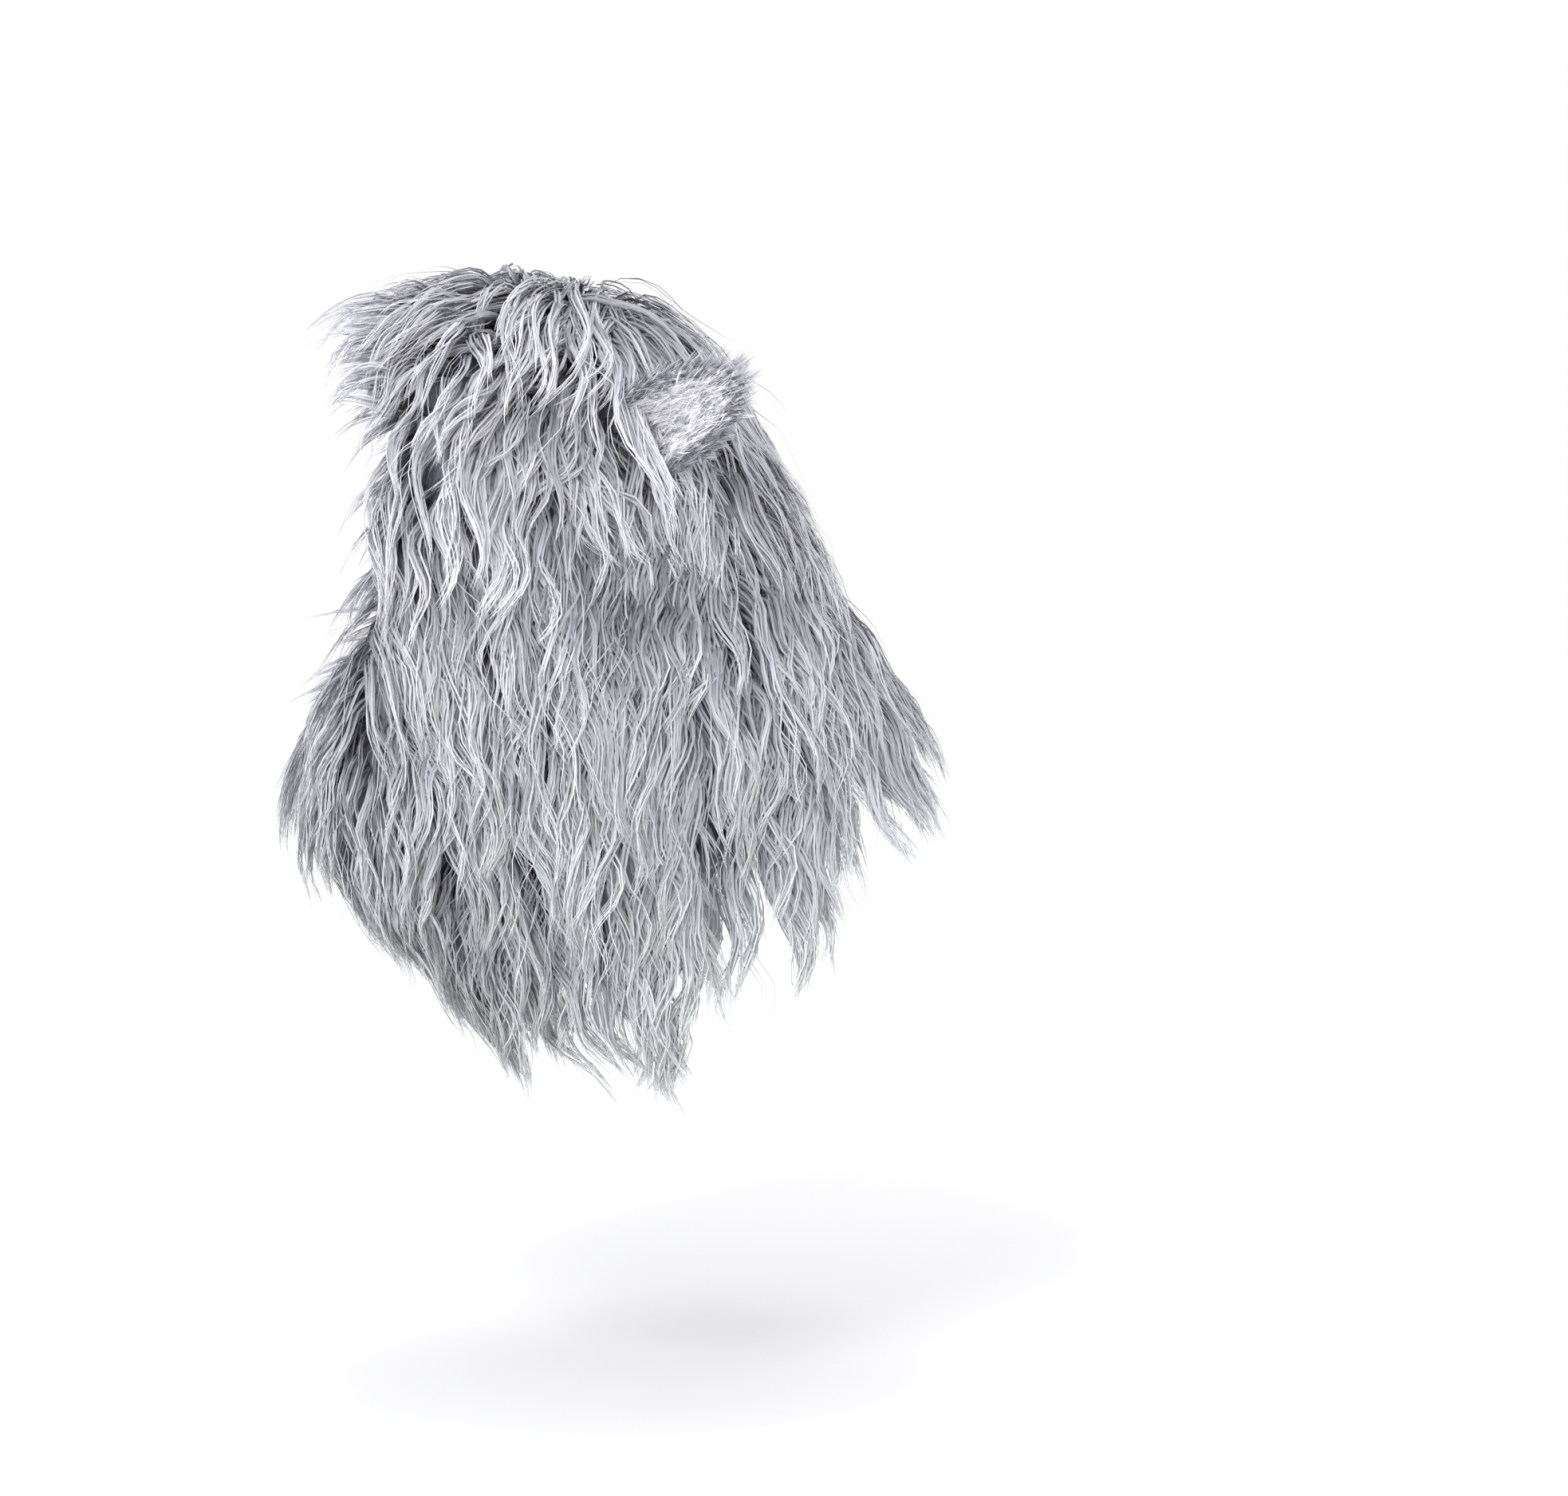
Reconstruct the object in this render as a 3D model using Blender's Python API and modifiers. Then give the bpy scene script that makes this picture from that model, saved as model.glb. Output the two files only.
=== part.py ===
"""Lion mane wig for a dog: a hollow hood of backing cloth, deep fur round it, and two plush ears.

The wig faces -Y, +Z is up and X runs across. The origin is inside the crown, where the hood
sits on the head. All lengths are in metres. The hood is a loft of oval rings that fan out from
the face opening to the neck hem.
"""

import math

import bmesh
import bpy
from mathutils import Vector
from mathutils.bvhtree import BVHTree

# Hood
HOOD_REACH = 0.254  # from the foremost point of the throat back to the hem on the back
HOOD_DROP = 0.330  # from the crown down to the hem's lowest sides
HOOD_WIDTH = 0.200  # across the hem
CLOTH = 0.0025  # backing cloth, knitted and lined with the fur's own mesh
HEM_WIDTH = 0.014  # the cloth turned in along the face ring and the neck hem
HEM_EXTRA = 0.0015  # how much thicker the turned hem is

# Fur
CROWN_DEPTH = 0.058  # how far the fur stands off the hood at each place
NAPE_DEPTH = 0.035
SIDE_DEPTH = 0.046
CHEST_DEPTH = 0.060
UNDERFUR_SHARE = 0.70  # the dense underfur fills this share of the depth
EDGE_SHARE = 0.40  # and thins to this share of itself along the face ring and the hem
EDGE_REACH = 0.20  # over this share of the hood's length
LOCK_KEEL = 1.5  # a lock is this much deeper below its middle line than above it
ROOT_SHARE = 0.60  # a lock's root lies this deep in the underfur's thickness
LOCK_LENGTH = 0.105
LOCK_WIDTH = 0.040
LOCK_THICKNESS = 0.020
FRINGE_LENGTH = 0.076
LIES_PAST = 0.30  # the fur past both edges lies as if the hood went on by this share of its length
LOCK_WEIGHT = 7.0  # how soon a lock turns down
SIDE_SWEEP = 0.55  # how strongly the fur falls straight down, against lying away from the parting
BACK_SWEEP = Vector((0.0, 0.35, -0.30))
# Past this turn from the crown every second row is left out, as the rings crowd together there.
THROAT_TURN = 1.60
FRINGE_TURN = 1.2  # the face ring's locks within this turn of the crown are the fringe
LOCK_ROWS = 11
LOCKS_AROUND = 16
FIRST_ROW, LAST_ROW = 0.03, 0.97  # where the rows begin and end along the hood
ROW_SCATTER = 0.2  # how far a lock may leave its row, as a share of the space between rows
TURN_SCATTER = 0.06  # and its place round the ring
LENGTH_SCATTER = 0.12  # how much longer or shorter a lock may be, as a share of its length
DEPTH_SCATTER = 0.06  # and how much higher or lower it may lie
SIZE_SCATTER = 0.25  # and how much thinner it may be
BACK_BEGINS_Y = 0.112  # behind this, just past the ears, the fur sweeps back over the neck
PARTING = Vector((0.0, 0.022, 0.035))  # the fur lies away from this point above the crown

# Ears
EAR_LENGTH = 0.094
EAR_WIDTH = 0.052
EAR_CUP = 0.013  # how far the middle of the ear sinks behind its edges
EAR_WALL = 0.005
LINING_WALL = 0.002
LINING_MARGIN = 0.006  # the ear's own edge that shows round the lining
EAR_SEAT = Vector((0.072, 0.062, -0.060))  # the middle of the left ear's root
EAR_POINTS = Vector((0.60, 0.66, 0.42))
EAR_FACES = Vector((0.79, -0.51, -0.33))
EAR_HOLLOW = 0.050  # the fur is shallower within about this distance of the ear's root
EAR_HOLLOW_SHARE = 0.50  # and this share of it is missing there
EAR_SUNK = 0.016  # the root runs on inwards this far before the hood trims it
EAR_ROOT_WIDTH = 0.80  # the ear's root as a share of its widest
EAR_WIDEST_AT = 0.40  # where it is widest, as a share of its length
EAR_ROUNDNESS = 2.2  # how full the tip is: 2 is an ellipse
EAR_TIP_CLOSES = 0.992  # the tip's last row, just before the outline closes in a point
EAR_TIP_FLATTENS = 0.35  # the share of the cup that is gone at the tip
EAR_ROWS_TIPWARD = 1.5  # how much closer the rows lie towards the tip
EAR_ROWS, EAR_COLUMNS = 7, 6

# Clearances
GAP = 0.0004  # between pieces that are sewn together
CORE_GAP = 0.0003  # what trims the pieces on the hood stands off it by this
CORE_PAST = 0.012  # and goes on past both ends of it by this share of its length
EAR_CLEAR = 0.015  # a lock whose middle line comes nearer than this to an ear is left out
EAR_GAP = 0.0012  # round the ear where it comes out of the fur

# Mesh
RINGS = 12
AROUND = 24
DOWN = Vector((0.0, 0.0, -1.0))
RING_PLACES = [k / (RINGS - 1) for k in range(RINGS)]

# Rings from the face to the neck hem. The crown and throat points are shares of HOOD_REACH (y)
# and HOOD_DROP (z), half_width is a share of half of HOOD_WIDTH, and side_drop is how far the
# sides hang, as a share of HOOD_DROP.
RING_COLUMNS = ("crown_y", "crown_z", "throat_y", "throat_z", "half_width", "side_drop")
RING_TABLE = (
    (-0.208, -0.033, -0.189, -0.601, 0.72, 0.000),
    (-0.094, -0.007, -0.223, -0.659, 0.80, 0.000),
    (0.057, 0.000, -0.255, -0.717, 0.86, 0.004),
    (0.227, -0.026, -0.270, -0.768, 0.90, 0.017),
    (0.363, -0.131, -0.268, -0.819, 0.92, 0.051),
    (0.472, -0.276, -0.242, -0.867, 0.94, 0.096),
    (0.590, -0.445, -0.193, -0.911, 0.96, 0.157),
    (0.728, -0.608, -0.117, -0.950, 1.00, 0.225),
)

# A lock from root to tip: width and thickness as shares of its own, and how high its middle may
# lie over the hood at the least and at the most, as shares of the fur's depth.
LOCK_COLUMNS = ("along", "width", "thickness", "lowest", "highest")
LOCK_TABLE = (
    (0.00, 0.55, 0.60, 0.00, 0.00),
    (0.18, 1.00, 1.00, 0.64, 0.74),
    (0.50, 0.95, 0.95, 0.72, 0.84),
    (0.80, 0.55, 0.60, 0.58, 0.96),
    (1.00, 0.00, 0.00, 0.46, 1.05),
)


def clear_scene():
    for old in list(bpy.data.objects):
        bpy.data.objects.remove(old, do_unlink=True)


def new_collection(name):
    made = bpy.data.collections.new(name)
    bpy.context.scene.collection.children.link(made)
    return made


def material(name, color, roughness):
    made = bpy.data.materials.new(name)
    made.use_nodes = True
    shader = made.node_tree.nodes["Principled BSDF"]
    shader.inputs["Base Color"].default_value = (*color, 1.0)
    shader.inputs["Roughness"].default_value = roughness
    shader.inputs["Metallic"].default_value = 0.0
    return made


def as_tool(obj, tools):
    """Makes a cutter or a shape that a Boolean joins: never a piece of its own."""
    tools.objects.link(obj)
    obj.hide_render = True
    obj.display_type = "WIRE"
    return obj


def mesh_object(name, points, faces):
    mesh = bpy.data.meshes.new(name)
    mesh.from_pydata([tuple(p) for p in points], [], faces)
    mesh.update()
    return bpy.data.objects.new(name, mesh)


def smooth_through(values, place):
    """The value at a place on a smooth line through evenly spaced values, straight past both ends."""
    spans = len(values) - 1
    if place < 0:
        return values[0] + (values[1] - values[0]) * place * spans
    if place > 1:
        return values[spans] + (values[spans] - values[spans - 1]) * (place - 1) * spans
    at = place * spans
    first = min(int(at), spans - 1)
    t = at - first
    before = values[first - 1] if first > 0 else 2 * values[0] - values[1]
    after = values[first + 2] if first + 2 <= spans else 2 * values[spans] - values[spans - 1]
    here, there = values[first], values[first + 1]
    return 0.5 * (
        2 * here
        + (there - before) * t
        + (2 * before - 5 * here + 4 * there - after) * t * t
        + (3 * here - before - 3 * there + after) * t * t * t
    )


def ring_value(column, along):
    index = RING_COLUMNS.index(column)
    return smooth_through([row[index] for row in RING_TABLE], along)


def lock_value(row, column):
    return row[LOCK_COLUMNS.index(column)]


def hood_point(along, turn):
    """A point on the hood's outer face: along from 0 at the face to 1 at the hem, turn from the crown."""
    crown = Vector((0, ring_value("crown_y", along) * HOOD_REACH, ring_value("crown_z", along) * HOOD_DROP))
    throat = Vector((0, ring_value("throat_y", along) * HOOD_REACH, ring_value("throat_z", along) * HOOD_DROP))
    half_width = ring_value("half_width", along) * HOOD_WIDTH / 2
    point = (crown + throat) / 2 + (crown - throat) / 2 * math.cos(turn)
    point.x += half_width * math.sin(turn)
    point.z += CLOTH - ring_value("side_drop", along) * HOOD_DROP * math.sin(turn) ** 2
    return point


def hood_normal(along, turn):
    """The way out of the hood at that point."""
    step = 1e-3
    lengthwise = hood_point(along + step, turn) - hood_point(along - step, turn)
    round_the_ring = hood_point(along, turn + step) - hood_point(along, turn - step)
    return round_the_ring.cross(lengthwise).normalized()


def fur_depth(along, turn):
    """How far the fur stands off the hood: less round the ears, so that they show."""
    up = math.cos(turn)
    top = CROWN_DEPTH + (NAPE_DEPTH - CROWN_DEPTH) * along
    towards = top if up > 0 else CHEST_DEPTH
    depth = SIDE_DEPTH + (towards - SIDE_DEPTH) * up * up
    place = hood_point(along, turn)
    place.x = abs(place.x)
    from_ear = (place - EAR_SEAT).length / EAR_HOLLOW
    return depth * (1 - EAR_HOLLOW_SHARE * math.exp(-from_ear * from_ear))


def evenly(first, last, count):
    return [first + (last - first) * k / (count - 1) for k in range(count)]


def sleeve(name, offset, places):
    """The hood's loft as an open sleeve through rings at those places, moved out by offset."""
    points, faces = [], []
    for along in places:
        for k in range(AROUND):
            turn = 2 * math.pi * k / AROUND
            points.append(hood_point(along, turn) + hood_normal(along, turn) * offset)
    for ring in range(len(places) - 1):
        for k in range(AROUND):
            a, b = ring * AROUND + k, ring * AROUND + (k + 1) % AROUND
            faces += [(a, b, b + AROUND), (a, b + AROUND, a + AROUND)]
    return mesh_object(name, points, faces)


def solidify(obj, thickness, outwards, share_at):
    """Gives an open sleeve its wall: share_at(along, turn) thins it from place to place."""
    group = obj.vertex_groups.new(name="wall")
    for ring, along in enumerate(RING_PLACES):
        for k in range(AROUND):
            group.add([ring * AROUND + k], share_at(along, 2 * math.pi * k / AROUND), "REPLACE")
    wall = obj.modifiers.new("Wall", "SOLIDIFY")
    wall.thickness = thickness
    wall.offset = 1.0 if outwards else -1.0
    wall.vertex_group = "wall"


def make_hood_backing(parts, finish):
    obj = sleeve("hood_backing", 0.0, RING_PLACES)
    lengthwise = HOOD_REACH + HOOD_DROP / 2  # about the hood's length from its face ring to its hem

    def wall_share(along, turn):
        to_edge = min(along, 1 - along) * lengthwise
        return 1.0 if to_edge < HEM_WIDTH else CLOTH / (CLOTH + HEM_EXTRA)

    solidify(obj, CLOTH + HEM_EXTRA, False, wall_share)
    obj.data.materials.append(finish)
    obj.data.shade_smooth()
    parts.objects.link(obj)
    return obj


def underfur_depth(along, turn):
    """The dense underfur's thickness, less along the two edges."""
    fullness = min(1.0, max(0.0, min(along, 1 - along) / EDGE_REACH))
    edge = EDGE_SHARE + (1 - EDGE_SHARE) * math.sin(fullness * math.pi / 2)
    return fur_depth(along, turn) * UNDERFUR_SHARE * edge


def make_underfur(parts, finish):
    """The dense underfur: a thick soft sleeve round the hood."""
    obj = sleeve("mane_fur", GAP, RING_PLACES)
    deepest = max(CROWN_DEPTH, NAPE_DEPTH, SIDE_DEPTH, CHEST_DEPTH) * UNDERFUR_SHARE
    solidify(obj, deepest, True, lambda along, turn: underfur_depth(along, turn) / deepest)
    obj.data.materials.append(finish)
    parts.objects.link(obj)
    return obj


def jitter(row, column, kind):
    """A fixed irregularity from -1 to 1 for one lock."""
    value = math.sin(row * 12.9898 + column * 78.233 + kind * 37.719) * 43758.5453
    return 2 * (value - math.floor(value)) - 1


def fur_flow(point, normal):
    """The way the fur lies at a point of the hood, along its surface."""
    sweep = (point - PARTING).normalized() + DOWN * SIDE_SWEEP
    if point.y > BACK_BEGINS_Y:
        sweep += BACK_SWEEP
    along_surface = sweep - normal * sweep.dot(normal)
    return along_surface.normalized()


def lock_path(root, flow, length, depth, root_height, hood_tree):
    """The middle line of a lock: out of the underfur, over it and down, as high as the fur is deep."""
    point = root
    direction = flow
    path = []
    before = 0.0
    for row in LOCK_TABLE:
        step = (lock_value(row, "along") - before) * length
        before = lock_value(row, "along")
        point = point + direction * step
        nearest, outward, _, _ = hood_tree.find_nearest(point)
        away = point - nearest
        height = away.length if away.dot(outward) > 0 else 0.0
        way_out = away.normalized() if height > GAP else outward
        low = lock_value(row, "lowest") * depth if path else root_height
        high = lock_value(row, "highest") * depth if path else root_height
        point = nearest + way_out * min(max(height, low), high)
        if path:
            direction = ((point - path[-1]).normalized() + DOWN * LOCK_WEIGHT * step).normalized()
        path.append(point)
    return path


def make_lock(name, path, width, thickness, hood_tree):
    """One lock as a closed ridge with four sides, pointed at its tip."""
    mesh = bmesh.new()
    rings = []
    for k, (point, row) in enumerate(zip(path[:-1], LOCK_TABLE)):
        ahead = (path[k + 1] - path[max(k - 1, 0)]).normalized()
        out = point - hood_tree.find_nearest(point)[0]
        out = (out - ahead * out.dot(ahead)).normalized()
        side = ahead.cross(out)
        half_width = lock_value(row, "width") * width / 2
        half_height = lock_value(row, "thickness") * thickness / 2
        corners = (side * half_width, out * half_height, side * -half_width, out * -half_height * LOCK_KEEL)
        rings.append([mesh.verts.new(point + corner) for corner in corners])
    tip = mesh.verts.new(path[-1])
    for ring, after in zip(rings, rings[1:]):
        for k in range(4):
            mesh.faces.new((ring[k], ring[(k + 1) % 4], after[(k + 1) % 4], after[k]))
    for k in range(4):
        mesh.faces.new((rings[-1][k], rings[-1][(k + 1) % 4], tip))
    mesh.faces.new(rings[0][::-1])
    bmesh.ops.recalc_face_normals(mesh, faces=mesh.faces)
    data = bpy.data.meshes.new(name)
    mesh.to_mesh(data)
    mesh.free()
    return bpy.data.objects.new(name, data)


def make_locks(hood_tree, ear_points, tools):
    """All the locks, in a collection that a Boolean joins to the underfur."""
    locks = bpy.data.collections.new("locks")
    tools.children.link(locks)
    for row in range(LOCK_ROWS):
        for column in range(LOCKS_AROUND):
            turn = 2 * math.pi * (column + 0.5 * (row % 2)) / LOCKS_AROUND
            from_crown = min(turn, 2 * math.pi - turn)
            if from_crown > THROAT_TURN and row % 2:
                continue
            place = (row + ROW_SCATTER * jitter(row, column, 1)) / (LOCK_ROWS - 1)
            along = FIRST_ROW + (LAST_ROW - FIRST_ROW) * place
            turn += TURN_SCATTER * jitter(row, column, 2)
            root, normal = hood_point(along, turn), hood_normal(along, turn)
            at_face = row == 0 and from_crown < FRINGE_TURN
            length = (FRINGE_LENGTH if at_face else LOCK_LENGTH) * (1 + LENGTH_SCATTER * jitter(row, column, 3))
            depth = fur_depth(along, turn) * (1 + DEPTH_SCATTER * jitter(row, column, 4))
            root_height = underfur_depth(along, turn) * ROOT_SHARE
            path = lock_path(root, fur_flow(root, normal), length, depth, root_height, hood_tree)
            if min((point - ear).length for point in path for ear in ear_points) < EAR_CLEAR:
                continue
            size = 1 - SIZE_SCATTER * abs(jitter(row, column, 5))
            lock = make_lock(f"lock_{row}_{column}", path, LOCK_WIDTH * size, LOCK_THICKNESS * size, hood_tree)
            as_tool(lock, locks)
    return locks


def cut(obj, other, name):
    made = obj.modifiers.new(name, "BOOLEAN")
    made.operation = "DIFFERENCE"
    made.object = other
    made.solver = "MANIFOLD"
    return made


def join(obj, others, name):
    """Joins a whole collection of overlapping locks to a piece."""
    made = obj.modifiers.new(name, "BOOLEAN")
    made.operation = "UNION"
    made.operand_type = "COLLECTION"
    made.collection = others
    made.solver = "MANIFOLD"
    return made


def outer_shell(obj):
    """Settles a piece's modifiers and drops the small pockets that are shut in between joined locks."""
    evaluated = obj.evaluated_get(bpy.context.evaluated_depsgraph_get())
    mesh = bmesh.new()
    mesh.from_mesh(evaluated.to_mesh())
    evaluated.to_mesh_clear()
    obj.modifiers.clear()
    bmesh.ops.triangulate(mesh, faces=mesh.faces)
    waiting, shells = set(mesh.faces), []
    while waiting:
        shell, edge_of_shell = set(), [waiting.pop()]
        while edge_of_shell:
            face = edge_of_shell.pop()
            shell.add(face)
            beside = {other for edge in face.edges if edge.is_manifold for other in edge.link_faces} & waiting
            waiting -= beside
            edge_of_shell.extend(beside)
        shells.append(shell)
    outer = max(shells, key=len)
    bmesh.ops.delete(mesh, geom=[f for f in mesh.faces if f not in outer], context="FACES")
    mesh.to_mesh(obj.data)
    mesh.free()


def ear_outline(share):
    """Half the ear's width at a share of its length, as a share of its widest."""
    if share < EAR_WIDEST_AT:
        return EAR_ROOT_WIDTH + (1 - EAR_ROOT_WIDTH) * math.sin(share / EAR_WIDEST_AT * math.pi / 2)
    towards_tip = (share - EAR_WIDEST_AT) / (1 - EAR_WIDEST_AT)
    return math.sqrt(max(0.0, 1 - towards_tip**EAR_ROUNDNESS))


def ear_leaf(name, side, margin, shift, grow):
    """The ear as an open curved leaf, taken in all round, moved forwards and made wider."""
    up = EAR_POINTS.normalized()
    face = (EAR_FACES - up * EAR_FACES.dot(up)).normalized()
    across = up.cross(face)
    points, faces = [], []
    tip_share = 1.0 - margin / EAR_LENGTH
    for i in range(EAR_ROWS + 1):
        share = 1 - (1 - i / EAR_ROWS) ** EAR_ROWS_TIPWARD
        share = share * min(tip_share, EAR_TIP_CLOSES)
        half = ear_outline(share / tip_share) * (EAR_WIDTH / 2 - margin + grow)
        for j in range(EAR_COLUMNS + 1):
            t = 2 * j / EAR_COLUMNS - 1
            place = EAR_SEAT + up * (share * (EAR_LENGTH + EAR_SUNK + grow) - EAR_SUNK) + across * (t * half)
            sink = EAR_CUP * (1 - (t * half / (EAR_WIDTH / 2)) ** 2) * (1 - EAR_TIP_FLATTENS * share)
            place = place - face * sink + face * shift
            points.append(Vector((place.x * side, place.y, place.z)))
    row = EAR_COLUMNS + 1
    for i in range(EAR_ROWS):
        for j in range(EAR_COLUMNS):
            a = i * row + j
            quad = (a, a + 1, a + row + 1, a + row)
            faces.append(quad if side > 0 else quad[::-1])
    return mesh_object(name, points, faces)


def leaf_wall(obj, thickness, offset):
    wall = obj.modifiers.new("Wall", "SOLIDIFY")
    wall.thickness = thickness
    wall.offset = offset
    return wall


def make_ear(side_name, side, parts, tools, core, plush, lining):
    """The ear's back and its pale lining, both trimmed to the hood that they are sewn on."""
    back = ear_leaf(f"ear_{side_name}", side, 0.0, 0.0, 0.0)
    leaf_wall(back, EAR_WALL, -1.0)
    back.data.materials.append(plush)
    inner = ear_leaf(f"ear_lining_{side_name}", side, LINING_MARGIN, GAP, 0.0)
    leaf_wall(inner, LINING_WALL, 1.0)
    inner.data.materials.append(lining)
    for piece in (back, inner):
        cut(piece, core, "Seat on the hood")
        piece.data.shade_smooth()
        parts.objects.link(piece)
    room = ear_leaf(f"ear_room_{side_name}", side, 0.0, (LINING_WALL - EAR_WALL) / 2, EAR_GAP)
    leaf_wall(room, EAR_WALL + LINING_WALL + 2 * (GAP + EAR_GAP), 0.0)
    return as_tool(room, tools)


def hood_core(tools):
    """Everything inside the hood's outer face, as one closed shape that trims what is sewn on the hood."""
    core = sleeve("hood_core", CORE_GAP, [-CORE_PAST, *RING_PLACES, 1 + CORE_PAST])
    mesh = bmesh.new()
    mesh.from_mesh(core.data)
    for rim in range(2):
        edges = [e for e in mesh.edges if e.is_boundary and (e.verts[0].index >= AROUND) == bool(rim)]
        ends = {v for e in edges for v in e.verts}
        middle = mesh.verts.new(sum((v.co for v in ends), Vector()) / len(ends))
        for edge in edges:
            mesh.faces.new((*edge.verts, middle))
        mesh.verts.index_update()
    bmesh.ops.recalc_face_normals(mesh, faces=mesh.faces)
    mesh.to_mesh(core.data)
    mesh.free()
    return as_tool(core, tools)


def main():
    clear_scene()
    parts = new_collection("lion_mane_wig")
    tools = new_collection("shaping_tools")
    cloth = material("backing_cloth", (0.42, 0.42, 0.45), 0.95)
    fur = material("silver_fur", (0.66, 0.66, 0.70), 0.85)
    plush = material("ear_plush", (0.52, 0.52, 0.56), 0.90)
    pale = material("ear_lining", (0.86, 0.85, 0.84), 0.90)

    make_hood_backing(parts, cloth)
    surface = sleeve("surface", 0.0, evenly(-LIES_PAST, 1 + LIES_PAST, 3 * RINGS))
    corners = [v.co for v in surface.data.vertices]
    hood_tree = BVHTree.FromPolygons(corners, [tuple(p.vertices) for p in surface.data.polygons])
    bpy.data.objects.remove(surface)

    core = hood_core(tools)
    rooms = [
        make_ear("left", 1, parts, tools, core, plush, pale),
        make_ear("right", -1, parts, tools, core, plush, pale),
    ]
    ear_points = [v.co.copy() for room in rooms for v in room.data.vertices]
    mane = make_underfur(parts, fur)
    join(mane, make_locks(hood_tree, ear_points, tools), "Locks")
    cut(mane, core, "Clear of the hood")
    for room in rooms:
        cut(mane, room, f"Cut {room.name}")
    outer_shell(mane)


main()
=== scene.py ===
"""Lion mane wig for a dog: wavy silver locks over a dense undercoat, a knitted hood and two plush ears.

Lengths are in metres, in the frame of the solids: the wig faces -Y, +Z is up, and the origin is
inside the crown. The hood's form is written here from the same rings as the solids.
"""

import math

import bmesh
import bpy
import numpy as np
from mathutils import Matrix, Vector
from mathutils.bvhtree import BVHTree


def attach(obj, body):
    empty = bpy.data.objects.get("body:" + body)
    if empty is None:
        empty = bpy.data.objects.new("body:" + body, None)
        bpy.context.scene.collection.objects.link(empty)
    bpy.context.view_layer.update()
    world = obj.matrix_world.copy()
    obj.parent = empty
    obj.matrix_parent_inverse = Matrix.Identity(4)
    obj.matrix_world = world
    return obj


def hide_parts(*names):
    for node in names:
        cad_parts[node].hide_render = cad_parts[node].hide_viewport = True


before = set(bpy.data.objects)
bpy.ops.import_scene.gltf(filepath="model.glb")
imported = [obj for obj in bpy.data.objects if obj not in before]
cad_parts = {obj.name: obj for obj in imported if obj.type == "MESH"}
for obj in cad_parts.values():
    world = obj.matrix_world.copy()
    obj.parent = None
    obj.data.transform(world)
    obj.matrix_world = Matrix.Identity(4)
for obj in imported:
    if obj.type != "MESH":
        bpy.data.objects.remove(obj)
for leftover in ("Cube", "Light", "Camera"):
    if leftover in bpy.data.objects:
        bpy.data.objects.remove(bpy.data.objects[leftover], do_unlink=True)
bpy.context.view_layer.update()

# Hood
HOOD_REACH = 0.254
HOOD_DROP = 0.330
HOOD_WIDTH = 0.200
CLOTH = 0.0025
HEM_WIDTH = 0.014
HEM_EXTRA = 0.0015
HEM_STEP = 0.002  # the hem thickens over this width
HOOD_ROWS, HOOD_COLUMNS = 56, 96
CORE_ROWS, CORE_COLUMNS = 26, 48
CORE_PAST = 0.012  # how far the trimming core goes past both edges of the hood
CORE_CLEARANCE = 0.0003
LIES_PAST = 0.30  # how far the surface that locks lie on goes past both edges
SURFACE_ROWS, SURFACE_COLUMNS = 60, 72
NEAR = 1e-3  # a small step along or round the hood, for slopes
# Rings from the face to the hem: places as shares of the hood's reach and drop, half width of its width
RING_COLUMNS = ("crown_y", "crown_z", "throat_y", "throat_z", "half_width", "side_drop")
RING_TABLE = np.array(
    (
        (-0.208, -0.033, -0.189, -0.601, 0.72, 0.000),
        (-0.094, -0.007, -0.223, -0.659, 0.80, 0.000),
        (0.057, 0.000, -0.255, -0.717, 0.86, 0.004),
        (0.227, -0.026, -0.270, -0.768, 0.90, 0.017),
        (0.363, -0.131, -0.268, -0.819, 0.92, 0.051),
        (0.472, -0.276, -0.242, -0.867, 0.94, 0.096),
        (0.590, -0.445, -0.193, -0.911, 0.96, 0.157),
        (0.728, -0.608, -0.117, -0.950, 1.00, 0.225),
    )
)

# Fur: how far it stands off the hood, and the undercoat under the locks
CROWN_DEPTH = 0.058
NAPE_DEPTH = 0.035
SIDE_DEPTH = 0.046
CHEST_DEPTH = 0.060
EAR_HOLLOW = 0.050  # it is less deep within about this distance of an ear
EAR_HOLLOW_SHARE = 0.50
UNDERCOAT_SHARE = 0.56  # how high the undercoat reaches in the fur
UNDERCOAT_LUMPS, LUMPS_SCALE, LUMPS_SEED = 0.10, 30.0, 5
UNDERCOAT_ROWS, UNDERCOAT_COLUMNS = 54, 90
EDGE_SHARE = 0.40  # how much of it is left at both edges, and how far in it is thinner
EDGE_REACH = 0.20
GAP = 0.0004
PARTING = np.array((0.0, 0.022, 0.035))  # the middle of a short parting across the crown
PARTING_REACH = 0.040  # how far it goes to each side
PARTING_WIDTH = 0.050  # the undercoat is thinner within about this distance
PARTING_DIP = 0.70

# How the fur lies
DOWN = np.array((0.0, 0.0, -1.0))
WHORL = 0.034  # the locks cross over the parting within about this distance
WHORL_FLATTENS = 0.3  # how much height counts in that distance
SIDE_SWEEP = 0.55  # how much it leans downwards
SIDES_BEGIN_Z, SIDES_BLEND = -0.03, 0.09  # below this height it turns straight down
SIDE_FALLS = 0.75  # how much of the sweep to front and back is gone lower down on the sides
SIDE_FACING = 1.6  # how soon a surface counts as a side
BACK_SWEEP = np.array((0.0, 0.35, -0.30))
BACK_BEGINS_Y, BACK_BLEND = 0.112, 0.012
SHADOW_LINE = 0.005  # locks root no nearer to the line where the back fur begins
BEND, BEND_SCALE, BEND_SEED = 0.45, 14.0, 3  # slow turns that neighbouring locks share
CROSSING = 0.10  # each lock's own turn
LOCK_WEIGHT = 6.0  # how fast locks turn downwards
FRINGE_WEIGHT = 21.0
CHEST_WEIGHT = 3.5
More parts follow.
